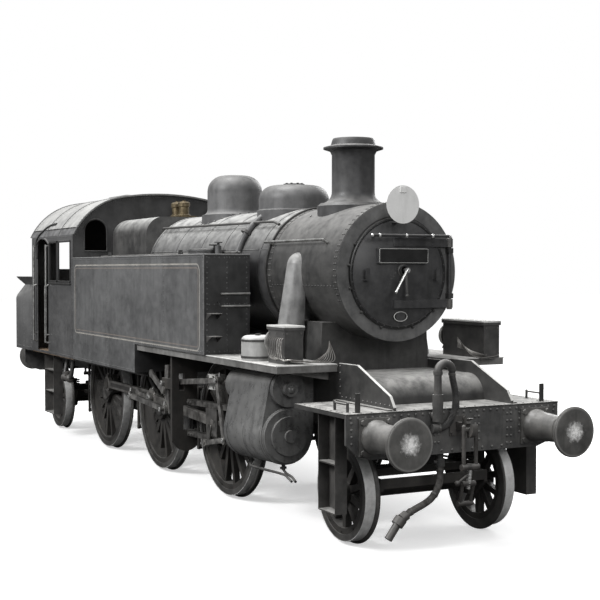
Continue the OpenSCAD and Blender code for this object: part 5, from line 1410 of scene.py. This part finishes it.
@dataclass
class Tanks:
    """Rivets, beading, fillers and steps of the side tanks."""

    front_x: float = 2630.0
    rear_x: float = -2050.0
    low_x: float = 480.0
    outer: float = 1330.0
    inner: float = 800.0
    top_z: float = 2670.0

    def build(self) -> None:
        """Makes the pieces of the tanks."""
        heads = Heads("tank_rivets")
        side = (0, 1, 0)
        y, x = self.outer, self.front_x
        heads.line((x - 32, y, 1650), (x - 32, y, 2640), 56, side, True)
        heads.line((x - 32, y, 2640), (self.rear_x + 60, y, 2640), 62, side, True)
        heads.line((x - 32, y, 1636), (self.low_x + 30, y, 1636), 62, side, True)
        heads.line((self.low_x - 40, y, 1290), (self.rear_x + 60, y, 1290), 62, side, True)
        heads.line((self.low_x - 32, y, 1300), (self.low_x - 32, y, 1600), 60, side, True)
        for seam in (1450, -560):
            heads.line((seam, y, 1700 if seam > 480 else 1350), (seam, y, 2600), 56, side, True)
        for yy in (self.inner + 36, 1065, y - 36):
            heads.line((x, yy, 1650), (x, yy, 2640), 56, (1, 0, 0), True)
        for zz in (1640, 2140, 2636):
            heads.line((x, self.inner + 60, zz), (x, y - 60, zz), 58, (1, 0, 0), True)
        heads.line((x - 40, y - 36, self.top_z), (self.rear_x + 60, y - 36, self.top_z), 62, (0, 0, 1), True)
        heads.line((x - 40, self.inner + 36, self.top_z), (self.rear_x + 60, self.inner + 36, self.top_z), 62,
                   (0, 0, 1), True)
        heads.make(Body.ENGINE, "tank_black", 8.5, 4.2)
        bead = Maker("tank_beading")
        for a, b in (((x - 4, y + 1, 1612), (x - 4, y + 1, 2668)),
                     ((x - 4, y + 1, 2668), (self.rear_x, y + 1, 2668)),
                     ((x + 1, self.inner, 2668), (x + 1, y, 2668))):
            bead.rod(a, b, 7, 10)
        bead.mirrored()
        bead.make(Body.ENGINE, "tank_edge")
        self.tops()

    def tops(self) -> None:
        """Makes lifting eyes, filler hinges, handles and the pipes that lie on the tanks."""
        fill_x, fill_y, z = self.front_x - 560, 1065, self.top_z
        work = Maker("tank_top_fittings")
        for x in (fill_x - 420, fill_x - 2900):
            work.plate([(x - 60, z - 2), (x + 60, z - 2), (x + 40, z + 60), (x - 40, z + 60)], "y", 1190,
                       1208)
        work.rod((fill_x + 225, fill_y, z + 50), (fill_x + 225, fill_y, z + 110), 11)
        work.rod((fill_x + 225, fill_y - 60, z + 106), (fill_x + 225, fill_y + 60, z + 106), 9)
        work.turned([(0, 205), (6, 214), (18, 216), (24, 206), (30, 120), (34, 0.5)],
                    (fill_x, fill_y, z + 36),
                    (0, 0, 1), 48)
        work.box(fill_x - 250, fill_x - 214, fill_y - 38, fill_y + 38, z - 2, z + 62)
        work.rod((fill_x - 232, fill_y - 50, z + 58), (fill_x - 232, fill_y + 50, z + 58), 13)
        work.mirrored()
        work.make(Body.ENGINE, "cab_dark", 1.5)
        pipes = Maker("tank_top_pipes")
        for yy in (875, 915):
            pipes.tube(curve_through([(2560, yy, z + 20), (2300, yy, z + 21), (1500, yy - 6, z + 20),
                                      (600, yy - 6, z + 20), (-1200, yy, z + 21), (-2040, yy, z + 20)], 5),
                       14, 10)
        pipes.mirrored()
        pipes.make(Body.ENGINE, "pipe_black")
        steps = Maker("tank_front_steps")
        for zz in (1800, 2040):
            steps.box(2622, 2760, 1175, 1305, zz, zz + 9)
            steps.plate([(2628, zz), (2755, zz), (2628, zz - 60)], "y", 1175, 1183)
            steps.plate([(2628, zz), (2755, zz), (2628, zz - 60)], "y", 1297, 1305)
        steps.mirrored()
        steps.make(Body.ENGINE, "plate_black", 1.0)


@dataclass
class Cab:
    """Windows, beading, roof strips, inside and rails of the cab."""

    front_x: float = -2050.0
    back_x: float = -4200.0
    half_w: float = 1330.0

    def roof_edge(self, inset: float, steps: int = 14) -> list[tuple[float, float]]:
        """Returns the left half of the roof's outline, from the middle to the eave, moved in by an inset."""
        crown = [(y, z) for y, z in arc((0, 0), 3590 - inset, 90, 79.8, steps)]
        return crown + arc((469, 2598), 950 - inset, 79.8, 25, steps)[1:]

    def build(self) -> None:
        """Makes the pieces of the cab."""
        heads = Heads("cab_rivets")
        for face_x, way in ((self.front_x + 1, 1), (self.back_x - 1, -1)):
            edge = self.roof_edge(42, 12)
            for i, (y, z) in enumerate(edge):
                heads.one((face_x, y, z), (way, 0, 0), i > 0)
                if i < len(edge) - 1:
                    b = edge[i + 1]
                    heads.one((face_x, (y + b[0]) / 2, (z + b[1]) / 2), (way, 0, 0), True)
        y = self.half_w
        heads.line((self.front_x - 34, y, 1320), (self.front_x - 34, y, 2960), 60, (0, 1, 0), True)
        heads.line((-3265, y, 1320), (-3265, y, 2290), 60, (0, 1, 0), True)
        heads.line((-3905, y, 1320), (-3905, y, 2930), 60, (0, 1, 0), True)
        heads.line((-2100, y, 1290), (-3240, y, 1290), 64, (0, 1, 0), True)
        heads.line((-2100, y, 2975), (-4150, y, 2975), 64, (0, 1, 0), True)
        heads.make(Body.ENGINE, "cab_black", 8.5, 4.2)
        self.roof()
        self.windows()
        self.rails()
        self.inside()

    def roof(self) -> None:
        """Makes the roof's seams, edges, rain strips and ventilator."""
        full = [(-y, z) for y, z in reversed(self.roof_edge(-3, 18))] + self.roof_edge(-3, 18)[1:]
        ribs = Maker("roof_ribs")
        for x, r in ((self.front_x + 48, 10), (self.back_x - 48, 10), (-2760, 6), (-3480, 6)):
            ribs.tube([(x, y, z) for y, z in full], r, 8)
        ribs.make(Body.ENGINE, "roof_dark")
        strips = Maker("rain_strips")
        turns = ((-3200, 37.8), (-3350, 37.6), (-3498, 36.4), (-3610, 33.8), (-3706, 30.4), (-3790, 27.0))
        for side in (-1, 1):
            over = [(x, side * (469 + 955 * math.cos(math.radians(a))),
                     2598 + 955 * math.sin(math.radians(a)))
                    for x, a in turns]
            down = [(-3868, side * 1336, 2966), (-3908, side * 1338, 2890), (-3906, side * 1338, 2790),
                    (-3880, side * 1338, 2680)]
            strips.tube(curve_through(over + down, 5), 19, 8)
            a = math.radians(31.9)
            y, z = side * (469 + 951 * math.cos(a)), 2598 + 951 * math.sin(a)
            strips.rod((self.front_x + 50, y, z), (self.back_x - 50, y, z), 8, 8)
        strips.make(Body.ENGINE, "cab_dark")
        vent = Maker("roof_ventilator")
        vent.plate([(-290, 3592), (290, 3592), (290, 3618), (0, 3632), (-290, 3618)], "x", -3520, -2780)
        for y in (-330, 330):
            vent.box(-3600, -2600, y - 14, y + 14, 3572, 3600)
        vent.make(Body.ENGINE, "roof_grey_top_lit", 3)
        heads = Heads("roof_rivets")
        for x in (-2700, -3420, self.front_x - 20, self.back_x + 40):
            for y, z in full[2:-2]:
                out = Vector((0, y, z)) if abs(y) < 636 else Vector((0, abs(y) - 469, z - 2598))
                out.y = math.copysign(out.y, y)
                heads.one((x, y, z - 1), tuple(out))
        heads.make(Body.ENGINE, "roof_grey_top_lit", 8.5, 4)

    def windows(self) -> None:
        """Makes the frames round the windows and lookouts."""
        frames = Maker("window_frames")
        for x0, x1 in ((-2768, -2152), (-3228, -2812)):
            z0, z1 = 2325, 2923
            for a, b, c, d in ((x0, x1, z0, z0 + 26), (x0, x1, z1 - 26, z1), (x0, x0 + 26, z0, z1),
                               (x1 - 26, x1, z0, z1)):
                frames.box(a, b, 1318, 1340, c, d)
        frames.box(-3240, -2140, 1340, 1352, 2296, 2318)
        frames.mirrored()
        frames.make(Body.ENGINE, "cab_dark", 2)
        brims = Maker("lookout_frames")
        for s in (1, -1):
            spots = [(833, 2768)] + [(833, 3052)] + [(998 - 165 * math.cos(t),
                                                      3052 + 165 * math.sin(t)) for t in
                     (math.pi * i / 16 for i in range(1, 16))] + [(1163, 3052), (1163, 2768)]
            brims.tube([(-2049, s * y, z) for y, z in spots], 13, 8, closed=True)
        brims.make(Body.ENGINE, "cab_dark")

    def rails(self) -> None:
        """Makes the cab's grab rails and their brackets."""
        rails = Maker("cab_rails")
        for x in (-3262, -3912):
            rails.tube(curve_through([(x, 1334, 1420), (x, 1380, 1440), (x, 1386, 1500), (x, 1386, 2200),
                                      (x, 1380, 2260), (x, 1334, 2280)], 5), 13, 10)
        rails.mirrored()
        rails.make(Body.ENGINE, "rail_steel")

    def inside(self) -> None:
        """Makes the fittings, pipes and stays on the backhead."""
        x = -2302
        brass = Maker("backhead_fittings")
        for y, z, r in ((-260, 2760, 85), (60, 2830, 95), (300, 2760, 70)):
            brass.turned([(0, r - 12), (-4, r), (-46, r), (-52, r - 12), (-52, 0.5)], (x - 20, y, z),
                         (1, 0, 0), 32)
        for y in (-420, 420):
            brass.rod((x - 60, y, 2380), (x - 60, y, 2700), 16)
            brass.rod((x, y, 2400), (x - 66, y, 2400), 22)
            brass.rod((x, y, 2680), (x - 66, y, 2680), 22)
        for y, z in ((-560, 2480), (560, 2480), (-120, 2520), (180, 2540)):
            brass.rod((x + 5, y, z), (x - 120, y, z), 20)
            brass.tube([(x - 118, y + 52 * math.cos(t), z + 52 * math.sin(t)) for t in
                        (math.tau * i / 20 for i in range(20))], 8, 8, closed=True)
        brass.make(Body.ENGINE, "handled_brass")
        iron = Maker("backhead_iron")
        iron.turned([(0, 250), (-16, 256), (-22, 240)], (x - 2, 0, 1980), (1, 0, 0), 40)
        iron.plate([(-190, 1830), (190, 1830), (190, 2130), (-190, 2130)], "x", x - 62, x - 26)
        iron.rod((x - 70, -150, 2050), (x - 70, 120, 2150), 12)
        iron.rod((x + 5, 0, 2660), (x - 120, 0, 2660), 26)
        iron.rod((x - 110, 0, 2660), (x - 130, -360, 2600), 17)
        iron.make(Body.ENGINE, "cab_dark", 2)
        pipes = Maker("backhead_pipes")
        for y0, y1, z1 in ((-430, -560, 2900), (420, 600, 2880), (-120, -300, 3050), (180, 340, 3060)):
            pipes.tube(curve_through([(x - 60, y0, 2480), (x - 100, y0, 2620), (x - 80, (y0 + y1) / 2, 2800),
                                      (x - 50, y1, z1), (x - 30, y1, z1 + 120)], 5), 13, 8)
        pipes.make(Body.ENGINE, "handled_brass")
        bolts = Heads("backhead_stays")
        for iy in range(-6, 7):
            for iz in range(8):
                y, z = iy * 96, 1560 + iz * 118
                if math.hypot(y, z - 1980) > 300 and z < 2420:
                    bolts.one((x + 2, y, z), (-1, 0, 0))
        bolts.make(Body.ENGINE, "cab_dark", 14, 9)


@dataclass
class Bunker:
    """Rivets, steps and rear fittings of the bunker."""

    back_x: float = -5300.0
    front_x: float = -4200.0
    half_w: float = 1330.0
    top_z: float = 2400.0

    def build(self) -> None:
        """Makes the pieces of the bunker."""
        heads = Heads("bunker_rivets")
        y = self.half_w
        for x in (-4250, -4700, -5130):
            heads.line((x, y, 1310), (x, y, 2020), 58, (0, 1, 0), True)
        heads.line((-4260, y, 1296), (-5130, y, 1296), 62, (0, 1, 0), True)
        for yy in (1130, 560, 0, -560, -1130):
            heads.line((self.back_x, yy, 1310), (self.back_x, yy, 2000), 58, (-1, 0, 0))
        heads.line((self.back_x, -1120, 1296), (self.back_x, 1120, 1296), 62, (-1, 0, 0))
        heads.make(Body.ENGINE, "bunker_black", 8.5, 4.2)
        steps = Maker("bunker_steps")
        for z in (1560, 1880):
            steps.box(self.back_x - 120, self.back_x + 2, 820, 1010, z, z + 9)
            for yy in (820, 1002):
                steps.plate([(self.back_x + 2, z), (self.back_x - 116, z), (self.back_x + 2, z - 60)], "y",
                            yy, yy + 8)
        steps.tube(curve_through([(self.back_x + 6, 700, 1960), (self.back_x - 45, 700, 1975),
                                  (self.back_x - 52, 700, 2060), (self.back_x - 20, 700, 2330),
                                  (self.back_x + 60, 700, 2350)], 5), 12, 10)
        steps.mirrored()
        steps.make(Body.ENGINE, "plate_black", 1)
        pipe = Maker("rear_vacuum_pipe")
        pipe.tube(curve_through([(self.back_x - 50, -256, 1150), (self.back_x - 50, -256, 1560),
                                 (self.back_x - 52, -250, 1630), (self.back_x - 56, -180, 1672),
                                 (self.back_x - 60, -110, 1630), (self.back_x - 60, -100, 1560)], 6), 34, 14)
        for z in (1210, 1400, 1520):
            pipe.box(self.back_x - 62, self.back_x + 2, -276, -236, z, z + 20)
        pipe.turned([(0, 40), (4, 46), (30, 46), (34, 40)], (self.back_x - 60, -100, 1530), (0, 0, 1), 24)
        pipe.make(Body.ENGINE, "pipe_black")


@dataclass
class Cylinders:
    """Covers, studs, drain cocks and pipes of the outside cylinders."""

    y: float = 1010.0
    lean: float = 1.97
    length: tuple[float, float] = (3045.0, 3920.0)
    axle_z: float = 762.0
    chest_up: float = 453.0

    def spot(self, along: float, across: float, up: float, side: int) -> Point:
        """Returns a place on the leaning cylinder line."""
        a = math.radians(self.lean)
        return (along * math.cos(a) - up * math.sin(a), side * (self.y + across),
                self.axle_z + along * math.sin(a) + up * math.cos(a))

    def build(self) -> None:
        """Makes the pieces of both cylinders."""
        a = math.radians(self.lean)
        way = (math.cos(a), 0, math.sin(a))
        back, front = self.length
        covers = Maker("cylinder_covers")
        bands = Maker("cylinder_bands")
        studs = Heads("cylinder_studs", Head.BOLT)
        cocks = Maker("drain_cocks")
        polished = Maker("cylinder_bright_parts")
        for side in (-1, 1):
            covers.turned([(-4, 262), (2, 270), (14, 270), (20, 258), (22, 200), (46, 172), (52, 120),
                           (56, 0.5)],
                          self.spot(front - 2, 0, 0, side), way, 56)
            covers.turned([(-4, 176), (2, 180), (12, 180), (18, 168), (20, 120), (60, 96), (66, 0.5)],
                          self.spot(front - 60, 0, self.chest_up, side), way, 48)
            for up, radius, count, along in ((0, 236, 16, front + 19), (self.chest_up, 146, 12, front - 42)):
                for i in range(count):
                    t = math.tau * (i + 0.5) / count
                    studs.one(self.spot(along, radius * math.cos(t), up + radius * math.sin(t), side), way)
            for along in (back + 40, back + 430, front - 70):
                bands.turned([(0, 279), (0, 284), (40, 284), (40, 279)], self.spot(along, 0, 0, side), way,
                             72,
                             loop=True)
            for along in (back + 60, front - 80):
                cocks.rod(self.spot(along, 0, -272, side), self.spot(along, 0, -340, side), 19)
                cocks.rod(self.spot(along, -30, -318, side), self.spot(along, 34, -318, side), 12)
            cocks.tube(curve_through([self.spot(back + 60, 0, -336, side),
                                      self.spot(back + 130, 20, -372, side),
                                      self.spot(front - 60, 30, -372, side),
                                      self.spot(front + 90, 40, -392, side),
                                      self.spot(front + 170, 40, -420, side)], 5), 13, 10)
            cocks.tube(curve_through([self.spot(front - 80, 0, -336, side),
                                      self.spot(front - 40, -10, -368, side),
                                      self.spot(front + 90, -4, -388, side),
                                      self.spot(front + 176, 0, -424, side)],
                                     5), 13, 10)
            polished.turned([(0, 60), (6, 66), (54, 66), (60, 58)], self.spot(back - 118, 0, 0, side), way,
                            32)
            polished.turned([(0, 30), (6, 40), (44, 40), (50, 30)],
                            self.spot(back - 262, 0, self.chest_up, side), way,
                            24)
            for along in (back + 170, front - 200):
                polished.rod(self.spot(along, 180, 216, side), self.spot(along, 202, 240, side), 22, 6)
            polished.rod(self.spot(front + 50, 0, 0, side), self.spot(front + 92, 0, 0, side), 34)
        covers.make(Body.ENGINE, "cylinder_black")
        bands.make(Body.ENGINE, "cylinder_black")
        studs.make(Body.ENGINE, "buffer_iron", 19, 15)
        cocks.make(Body.ENGINE, "pipe_black")
        polished.make(Body.ENGINE, "slide_steel")
        self.guides()

    def guides(self) -> None:
        """Makes the pale spindle guides and the slide bar bolts."""
        guide = Maker("spindle_guide_covers")
        bolts = Heads("slide_bar_bolts", Head.BOLT)
        for side in (-1, 1):
            corners = [self.spot(along, 0, up, side) for along, up in
                       ((2146, self.chest_up - 94), (2334, self.chest_up - 94), (2334, self.chest_up + 74),
                        (2146, self.chest_up + 74))]
            low, high = sorted((side * (self.y - 64), side * (self.y + 64)))
            guide.plate([(p[0], p[2]) for p in corners], "y", low, high)
            for along in (1520, 1600, 2880, 2950):
                for up in (-150, 150):
                    bolts.one(self.spot(along, 45, up + (-1 if up < 0 else 1) * 30, side), (0, side, 0))
            for along in (2170, 2310):
                for up in (self.chest_up - 68, self.chest_up + 48):
                    bolts.one(self.spot(along, 64, up, side), (0, side, 0))
        guide.make(Body.ENGINE, "guide_pale", 5)
        bolts.make(Body.ENGINE, "buffer_iron", 15, 12)


@dataclass
class Plumbing:
    """Lubricators, drum, oil pipes, sand pipes and injectors."""

    running_z: float = 1610.0

    def build(self) -> None:
        """Makes the pieces that stand on or hang from the running plates."""
        z = self.running_z
        lids = Maker("lubricator_lids")
        wheels = Maker("lubricator_wheels")
        heads = Heads("lubricator_bolts", Head.BOLT)
        for x0, x1, y0, y1, h in ((3800, 4150, -1150, -950, 350), (3650, 4380, 990, 1180, 365)):
            middle = (y0 + y1) / 2
            lids.plate([(x0 - 14, z + h - 4), (x1 + 14, z + h - 4), (x1 + 8, z + h + 14),
                        (x0 - 8, z + h + 14)], "y",
                       y0 - 14, y1 + 14)
            wheels.turned([(0, 60), (4, 110), (8, 118), (26, 118), (30, 110), (34, 40), (46, 34), (50, 20)],
                          (x0 - 26, middle, z + 200), (-1, 0, 0), 40)
            wheels.rod((x0 - 40, middle, z + 200), (x0 - 52, middle - 60, z + 60), 12)
            for x in (x0 + 24, (x0 + x1) / 2, x1 - 24):
                for zz in (z + 30, z + h - 60):
                    heads.one((x, y0 if y0 < 0 else y1, zz), (0, -1 if y0 < 0 else 1, 0))
            for y in (y0 + 26, y1 - 26):
                heads.one((x1, y, z + h - 60), (1, 0, 0))
                heads.one((x1, y, z + 34), (1, 0, 0))
        lids.make(Body.ENGINE, "guide_pale", 3)
        wheels.make(Body.ENGINE, "oiled_wheel")
        heads.make(Body.ENGINE, "buffer_iron", 9, 7)
        pipes = Maker("oil_pipes")
        y = -1164
        for i in range(8):
            x = 3830 + i * 42
            pipes.tube(curve_through([(x, y + 14, z + 250), (x, y - 10, z + 215),
                                      (x + 30, y - 14, z + 90 - i * 6),
                                      (x + 120, y + 10 + i * 6, z + 34 + i * 2),
                                      (4260 + i * 6, -1040 + i * 26, z + 22),
                                      (4300, -900 + i * 30, z + 40), (4240, -720, z + 120 + i * 14)], 5), 4.2,
                       6)
        for i in range(8):
            x = 3700 + i * 85
            pipes.tube(curve_through([(x, 1194, z + 250), (x, 1206, z + 200), (x + 20, 1208, z + 80),
                                      (x + 110, 1190 - i * 8, z + 26), (4400, 1000 - i * 22, z + 30),
                                      (4300, 720, z + 120 + i * 14)], 5), 4.2, 6)
        pipes.make(Body.ENGINE, "rod_steel")
        bends = Maker("steam_pipe_bends")
        bends.turned([(-24, 0.5), (-24, 138), (0, 140.8), (36, 136), (70, 122), (100, 99), (122, 70),
                      (136, 36),
                      (141, 0.5)], (3453, 615, 2547), (0, -170, 997), 48)
        bends.mirrored()
        bends.make(Body.ENGINE, "pipe_grey_painted_light")
        drum = Maker("drum_bands")
        for up in (22, 186):
            drum.turned([(0, 164), (0, 169), (22, 169), (22, 164)], (3480, -1110, z + up), (0, 0, 1), 56,
                        loop=True)
        drum.rod((3480, -1110, z + 240), (3480, -1110, z + 262), 26)
        drum.make(Body.ENGINE, "lubricator_black")
        self.below()

    def below(self) -> None:
        """Makes sand pipes, injectors and long pipes below the footplate."""
        pipes = Maker("underframe_pipes")
        for x in (2057, 0):
            pipes.tube(curve_through([(x + 880, 700, 1400), (x + 872, 745, 1000), (x + 800, 750, 560),
                                      (x + 610, 750, 240), (x + 400, 750, 86)], 5), 17, 10)
        for y in (1180, 1130):
            pipes.tube(curve_through([(430, y, 1225), (0, y, 1228), (-1200, y, 1226), (-3200, y, 1215),
                                      (-4100, y - 60, 1200), (-4300, y - 160, 1180)], 5), 19, 10)
        pipes.tube(curve_through([(-2550, 1180, 1215), (-2560, 1190, 1080), (-2620, 1195, 960),
                                  (-2800, 1195, 930),
                                  (-2950, 1180, 960), (-3000, 1150, 1080), (-3010, 1120, 1210)], 6), 30, 12)
        pipes.mirrored()
        pipes.make(Body.ENGINE, "pipe_black")
        injector = Maker("injectors")
        injector.turned([(0, 30), (10, 56), (60, 60), (90, 42), (230, 40), (250, 58), (310, 58), (330, 34)],
                        (-2960, 1190, 930), (1, 0, 0), 28)
        injector.turned([(0, 40), (8, 46), (60, 46), (66, 20)], (-2800, 1190, 960), (0, 0, 1), 20)
        injector.mirrored()
        injector.make(Body.ENGINE, "coupling_iron")


@dataclass
class Wheelset:
    """Treads, hub caps and weight rivets of one axle."""

    name: str
    body: Body
    x: float
    radius: float
    axle: float
    crank: bool = True
    tread_y: float = 712.0
    rim_y: float = 803.0
    rim_width: float = 66.0

    def build(self) -> None:
        """Makes the polished treads and the axle ends."""
        treads = Maker(f"{self.name}_treads")
        r = self.radius
        stud_count = 16 if self.crank else 10
        for side in (-1, 1):
            treads.turned([(0, r + 1), (4, r + 1.6), (100, r + 0.4), (110, r - 2), (110, r - 6), (0, r - 6)],
                          (self.x, side * self.tread_y, r), (0, side, 0), 120, loop=True)
        treads.make(self.body, "polished_tread", smooth=50)
        ends = Maker(f"{self.name}_axle_ends")
        studs = Heads(f"{self.name}_bolts", Head.BOLT)
        for side in (-1, 1):
            face = 840 if self.crank else 822
            ends.turned([(0, self.axle + 8), (6, self.axle + 4), (8, self.axle - 12), (3, self.axle - 24),
                         (3, 0.5)],
                        (self.x, side * (face - 4), r), (0, side, 0), 40)
            stud_r = r - self.rim_width - 16
            for i in range(stud_count):
                t = math.tau * (i + 0.5) / stud_count
                studs.one((self.x + stud_r * math.cos(t), side * self.rim_y, r + stud_r * math.sin(t)),
                          (0, side, 0))
        ends.make(self.body, "slide_steel")
        studs.make(self.body, "wheel_black", 11, 9)


@dataclass
class Rods:
    """Bushes, oil cups and pins of the rods and the valve gear."""

    throw: float = 305.0
    axle_z: float = 762.0
    right_angle: float = 30.0

    def build(self) -> None:
        """Makes the pieces on the coupling rods, the connecting rods and the gear."""
        for side, body, name in ((-1, Body.ROD_RIGHT, "right"), (1, Body.ROD_LEFT, "left")):
            a = math.radians(self.right_angle if side < 0 else self.right_angle + 90)
            px, pz = self.throw * math.cos(a), self.axle_z + self.throw * math.sin(a)
            rods = Maker(f"{name}_rod_bushes")
            for x in (-2134, 0, 2057):
                rods.turned([(0, 70), (0, 92), (3, 96), (6, 92), (6, 70)], (px + x, side * 902, pz),
                            (0, side, 0), 40, loop=True)
                rods.rod((px + x, side * 877, pz + 86), (px + x, side * 877, pz + 148), 20, 12, 14)
            rods.make(body, "rod_steel", smooth=50)
            flute = Maker(f"{name}_rod_flutes")
            for x0, x1 in ((-1980, -150), (150, 1905)):
                flute.plate([(px + x0, pz - 26), (px + x1, pz - 26), (px + x1, pz + 26), (px + x0, pz + 26)],
                            "y",
                            *sorted((side * 900, side * 902.6)))
            flute.make(body, "rod_shade")
            self.fixed(side, name, px, pz)

    def fixed(self, side: int, name: str, px: float, pz: float) -> None:
        """Makes the pin ends and oil cups of one side's resting gear."""
        pins = Maker(f"{name}_gear_pins")
        a = math.radians((self.right_angle if side < 0 else self.right_angle + 90) + 97)
        ex, ez = 205 * math.cos(a), self.axle_z + 205 * math.sin(a)
        for x, z, y, r in ((px, pz, 1080, 52), (ex, ez, 1185, 34), (1056, 868, 1228, 30),
                           (1056, 1180, 1205, 32),
                           (2560, 1330, 1176, 28), (2735, 715, 1168, 26)):
            pins.turned([(-2, r), (8, r), (12, r - 6), (12, r - 18), (9, r - 20), (9, 0.5)],
                        (x, side * y, z), (0, side, 0), 28)
        for x, z, y in ((px, pz + 100, 1010), (ex, ez + 52, 1168), (1056, 920, 1168), (2560, 1368, 1122)):
            pins.rod((x, side * y, z - 4), (x, side * y, z + 44), 15, 12, 11)
        pins.make(Body.ENGINE, "clean_steel")


class Springs:
    """Coil springs over the trucks' axle boxes, by a geometry node tree."""

    def __init__(self, coils: float = 6.0, radius: float = 62.0, wire: float = 13.0,
                 height: float = 190.0) -> None:
        """Sets the springs' sizes in millimetres.

        Args:
            coils: Turns of each spring.
            radius: Radius of the turns.
            wire: Radius of the wire.
            height: Height of each spring.
        """
        self.coils, self.radius, self.wire, self.height = coils, radius, wire, height

    def tree(self) -> bpy.types.NodeTree:
        """Returns the tree that winds a spring on each point."""
        tree = bpy.data.node_groups.new("wind_springs", "GeometryNodeTree")
        tree.interface.new_socket("Geometry", in_out="INPUT", socket_type="NodeSocketGeometry")
        for label, kind in (("Turns", "NodeSocketFloat"), ("Coil radius", "NodeSocketFloat"),
                            ("Wire radius", "NodeSocketFloat"), ("Height", "NodeSocketFloat"),
                            ("Finish", "NodeSocketMaterial")):
            tree.interface.new_socket(label, in_out="INPUT", socket_type=kind)
        tree.interface.new_socket("Geometry", in_out="OUTPUT", socket_type="NodeSocketGeometry")
        add, join = tree.nodes.new, tree.links.new
        given, result = add("NodeGroupInput"), add("NodeGroupOutput")
        coil = add("GeometryNodeCurveSpiral")
        coil.inputs["Resolution"].default_value = 18
        join(given.outputs["Turns"], coil.inputs["Rotations"])
        join(given.outputs["Coil radius"], coil.inputs["Start Radius"])
        join(given.outputs["Coil radius"], coil.inputs["End Radius"])
        join(given.outputs["Height"], coil.inputs["Height"])
        ring = add("GeometryNodeCurvePrimitiveCircle")
        ring.inputs["Resolution"].default_value = 8
        join(given.outputs["Wire radius"], ring.inputs["Radius"])
        wire = add("GeometryNodeCurveToMesh")
        wire.inputs["Fill Caps"].default_value = True
        join(coil.outputs["Curve"], wire.inputs["Curve"])
        join(ring.outputs["Curve"], wire.inputs["Profile Curve"])
        spread = add("GeometryNodeInstanceOnPoints")
        join(given.outputs["Geometry"], spread.inputs["Points"])
        join(wire.outputs["Mesh"], spread.inputs["Instance"])
        real = add("GeometryNodeRealizeInstances")
        join(spread.outputs["Instances"], real.inputs["Geometry"])
        dress = add("GeometryNodeSetMaterial")
        join(real.outputs["Geometry"], dress.inputs["Geometry"])
        join(given.outputs["Finish"], dress.inputs["Material"])
        join(dress.outputs["Geometry"], result.inputs["Geometry"])
        return tree

    def make(self, name: str, body: Body, spots: Iterable[Point], finish: str) -> None:
        """Winds springs at some places on one body."""
        mesh = bpy.data.meshes.new(name)
        mesh.from_pydata([tuple(at(*s)) for s in spots], [], [])
        piece = bpy.data.objects.new(name, mesh)
        bpy.context.scene.collection.objects.link(piece)
        tree = self.tree()
        winder = piece.modifiers.new("springs", "NODES")
        winder.node_group = tree
        values = {"Turns": self.coils, "Coil radius": self.radius * MM, "Wire radius": self.wire * MM,
                  "Height": self.height * MM, "Finish": LOOKS.by_name[finish][0]}
        for item in tree.interface.items_tree:
            if item.in_out == "INPUT" and item.name in values:
                winder[item.identifier] = values[item.name]
        bake_modifiers(piece)
        for face in piece.data.polygons:
            face.use_smooth = True
        LOOKS.apply(piece, finish)
        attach(piece, body.value)
        LOG.info("%s: %d faces", name, len(piece.data.polygons))


PLAIN_BEVELS = {"main_frames": 2, "frame_stretchers": 2, "buffer_beams": 4, "buffers": 2, "couplings": 0,
                "front_platform": 0, "running_plates": 2, "footsteps": 0, "smokebox_saddle": 4, "smokebox": 0,
                "chimney": 0, "boiler_barrel": 0, "top_feed": 0, "dome": 0, "firebox": 0, "safety_valves": 1,
                "side_tanks": 5, "cab_front": 0, "cab_sides": 0, "cab_rear": 0, "cab_roof": 0, "cab_floor": 0,
                "cab_fittings": 2, "bunker": 3, "cylinders": 4, "steam_pipes": 0, "slide_bars": 3,
                "motion_brackets": 3, "crossheads": 2, "connecting_rods": 3, "valve_gear": 2, "axleboxes": 2,
                "brake_gear": 2, "ashpan": 3, "lubricators": 4, "reservoir": 3, "handrails": 0,
                "train_pipes": 0,
                "smokebox_door": 0, "headcode_disc": 0, "leading_truck": 2,
                "leading_wheels": 2, "leading_tyres": 2, "trailing_truck": 2, "trailing_wheels": 2,
                "trailing_tyres": 2, "main_wheels": 2, "main_tyres": 2, "front_wheels": 2, "front_tyres": 2,
                "rear_wheels": 2, "rear_tyres": 2, "coupling_rod_right": 3, "coupling_rod_left": 3}


OWN_FINISHES = {"steam_pipes": "pipe_grey_painted_light", "reservoir": "drum_grey_top_lit", "dome": "dome_black",
                "top_feed": "dome_black",
                "running_plates": "plate_worn_top_lit"}


def main() -> None:
    """Builds every sub-assembly in order and reports each piece."""
    Camera().build()
    Hoses().build()
    Studio().build()
    dresser = Dresser()
    for node, bevel in PLAIN_BEVELS.items():
        piece = dresser.dress(node, bevel)
        if node in OWN_FINISHES:
            LOOKS.apply(piece, OWN_FINISHES[node])
    hose_end = frame["nodes"]["steam_heat_end"].data
    hose_end.materials.clear()
    hose_end.materials.append(LOOKS.by_slot["coupling_steel"])
    for part in (Boiler(), SmokeboxDoor(), Chimney(), FrontEnd(), Tanks(), Cab(), Bunker(), Cylinders(),
                 Plumbing(),
                 Rods()):
        part.build()
    for name, body, x, radius, axle, crank in (
            ("leading", Body.LEAD_WHEELS, 4648, 457, 75, False),
                                               ("front", Body.FRONT_WHEELS, 2057, 762, 95, True),
            ("main", Body.MAIN_WHEELS, 0, 762, 95, True), ("rear", Body.REAR_WHEELS, -2134, 762, 95, True),
            ("trailing", Body.TRAIL_WHEELS, -4572, 457, 75, False)):
        Wheelset(name, body, x, radius, axle, crank).build()
    springs = Springs()
    for name, body, x in (("leading", Body.LEAD_TRUCK, 4648), ("trailing", Body.TRAIL_TRUCK, -4572)):
        springs.make(f"{name}_springs", body, [(x + dx, s * 560, 560) for dx in (-75, 75) for s in (-1, 1)],
                     "frame_dirt")


if __name__ == "__main__":
    main()
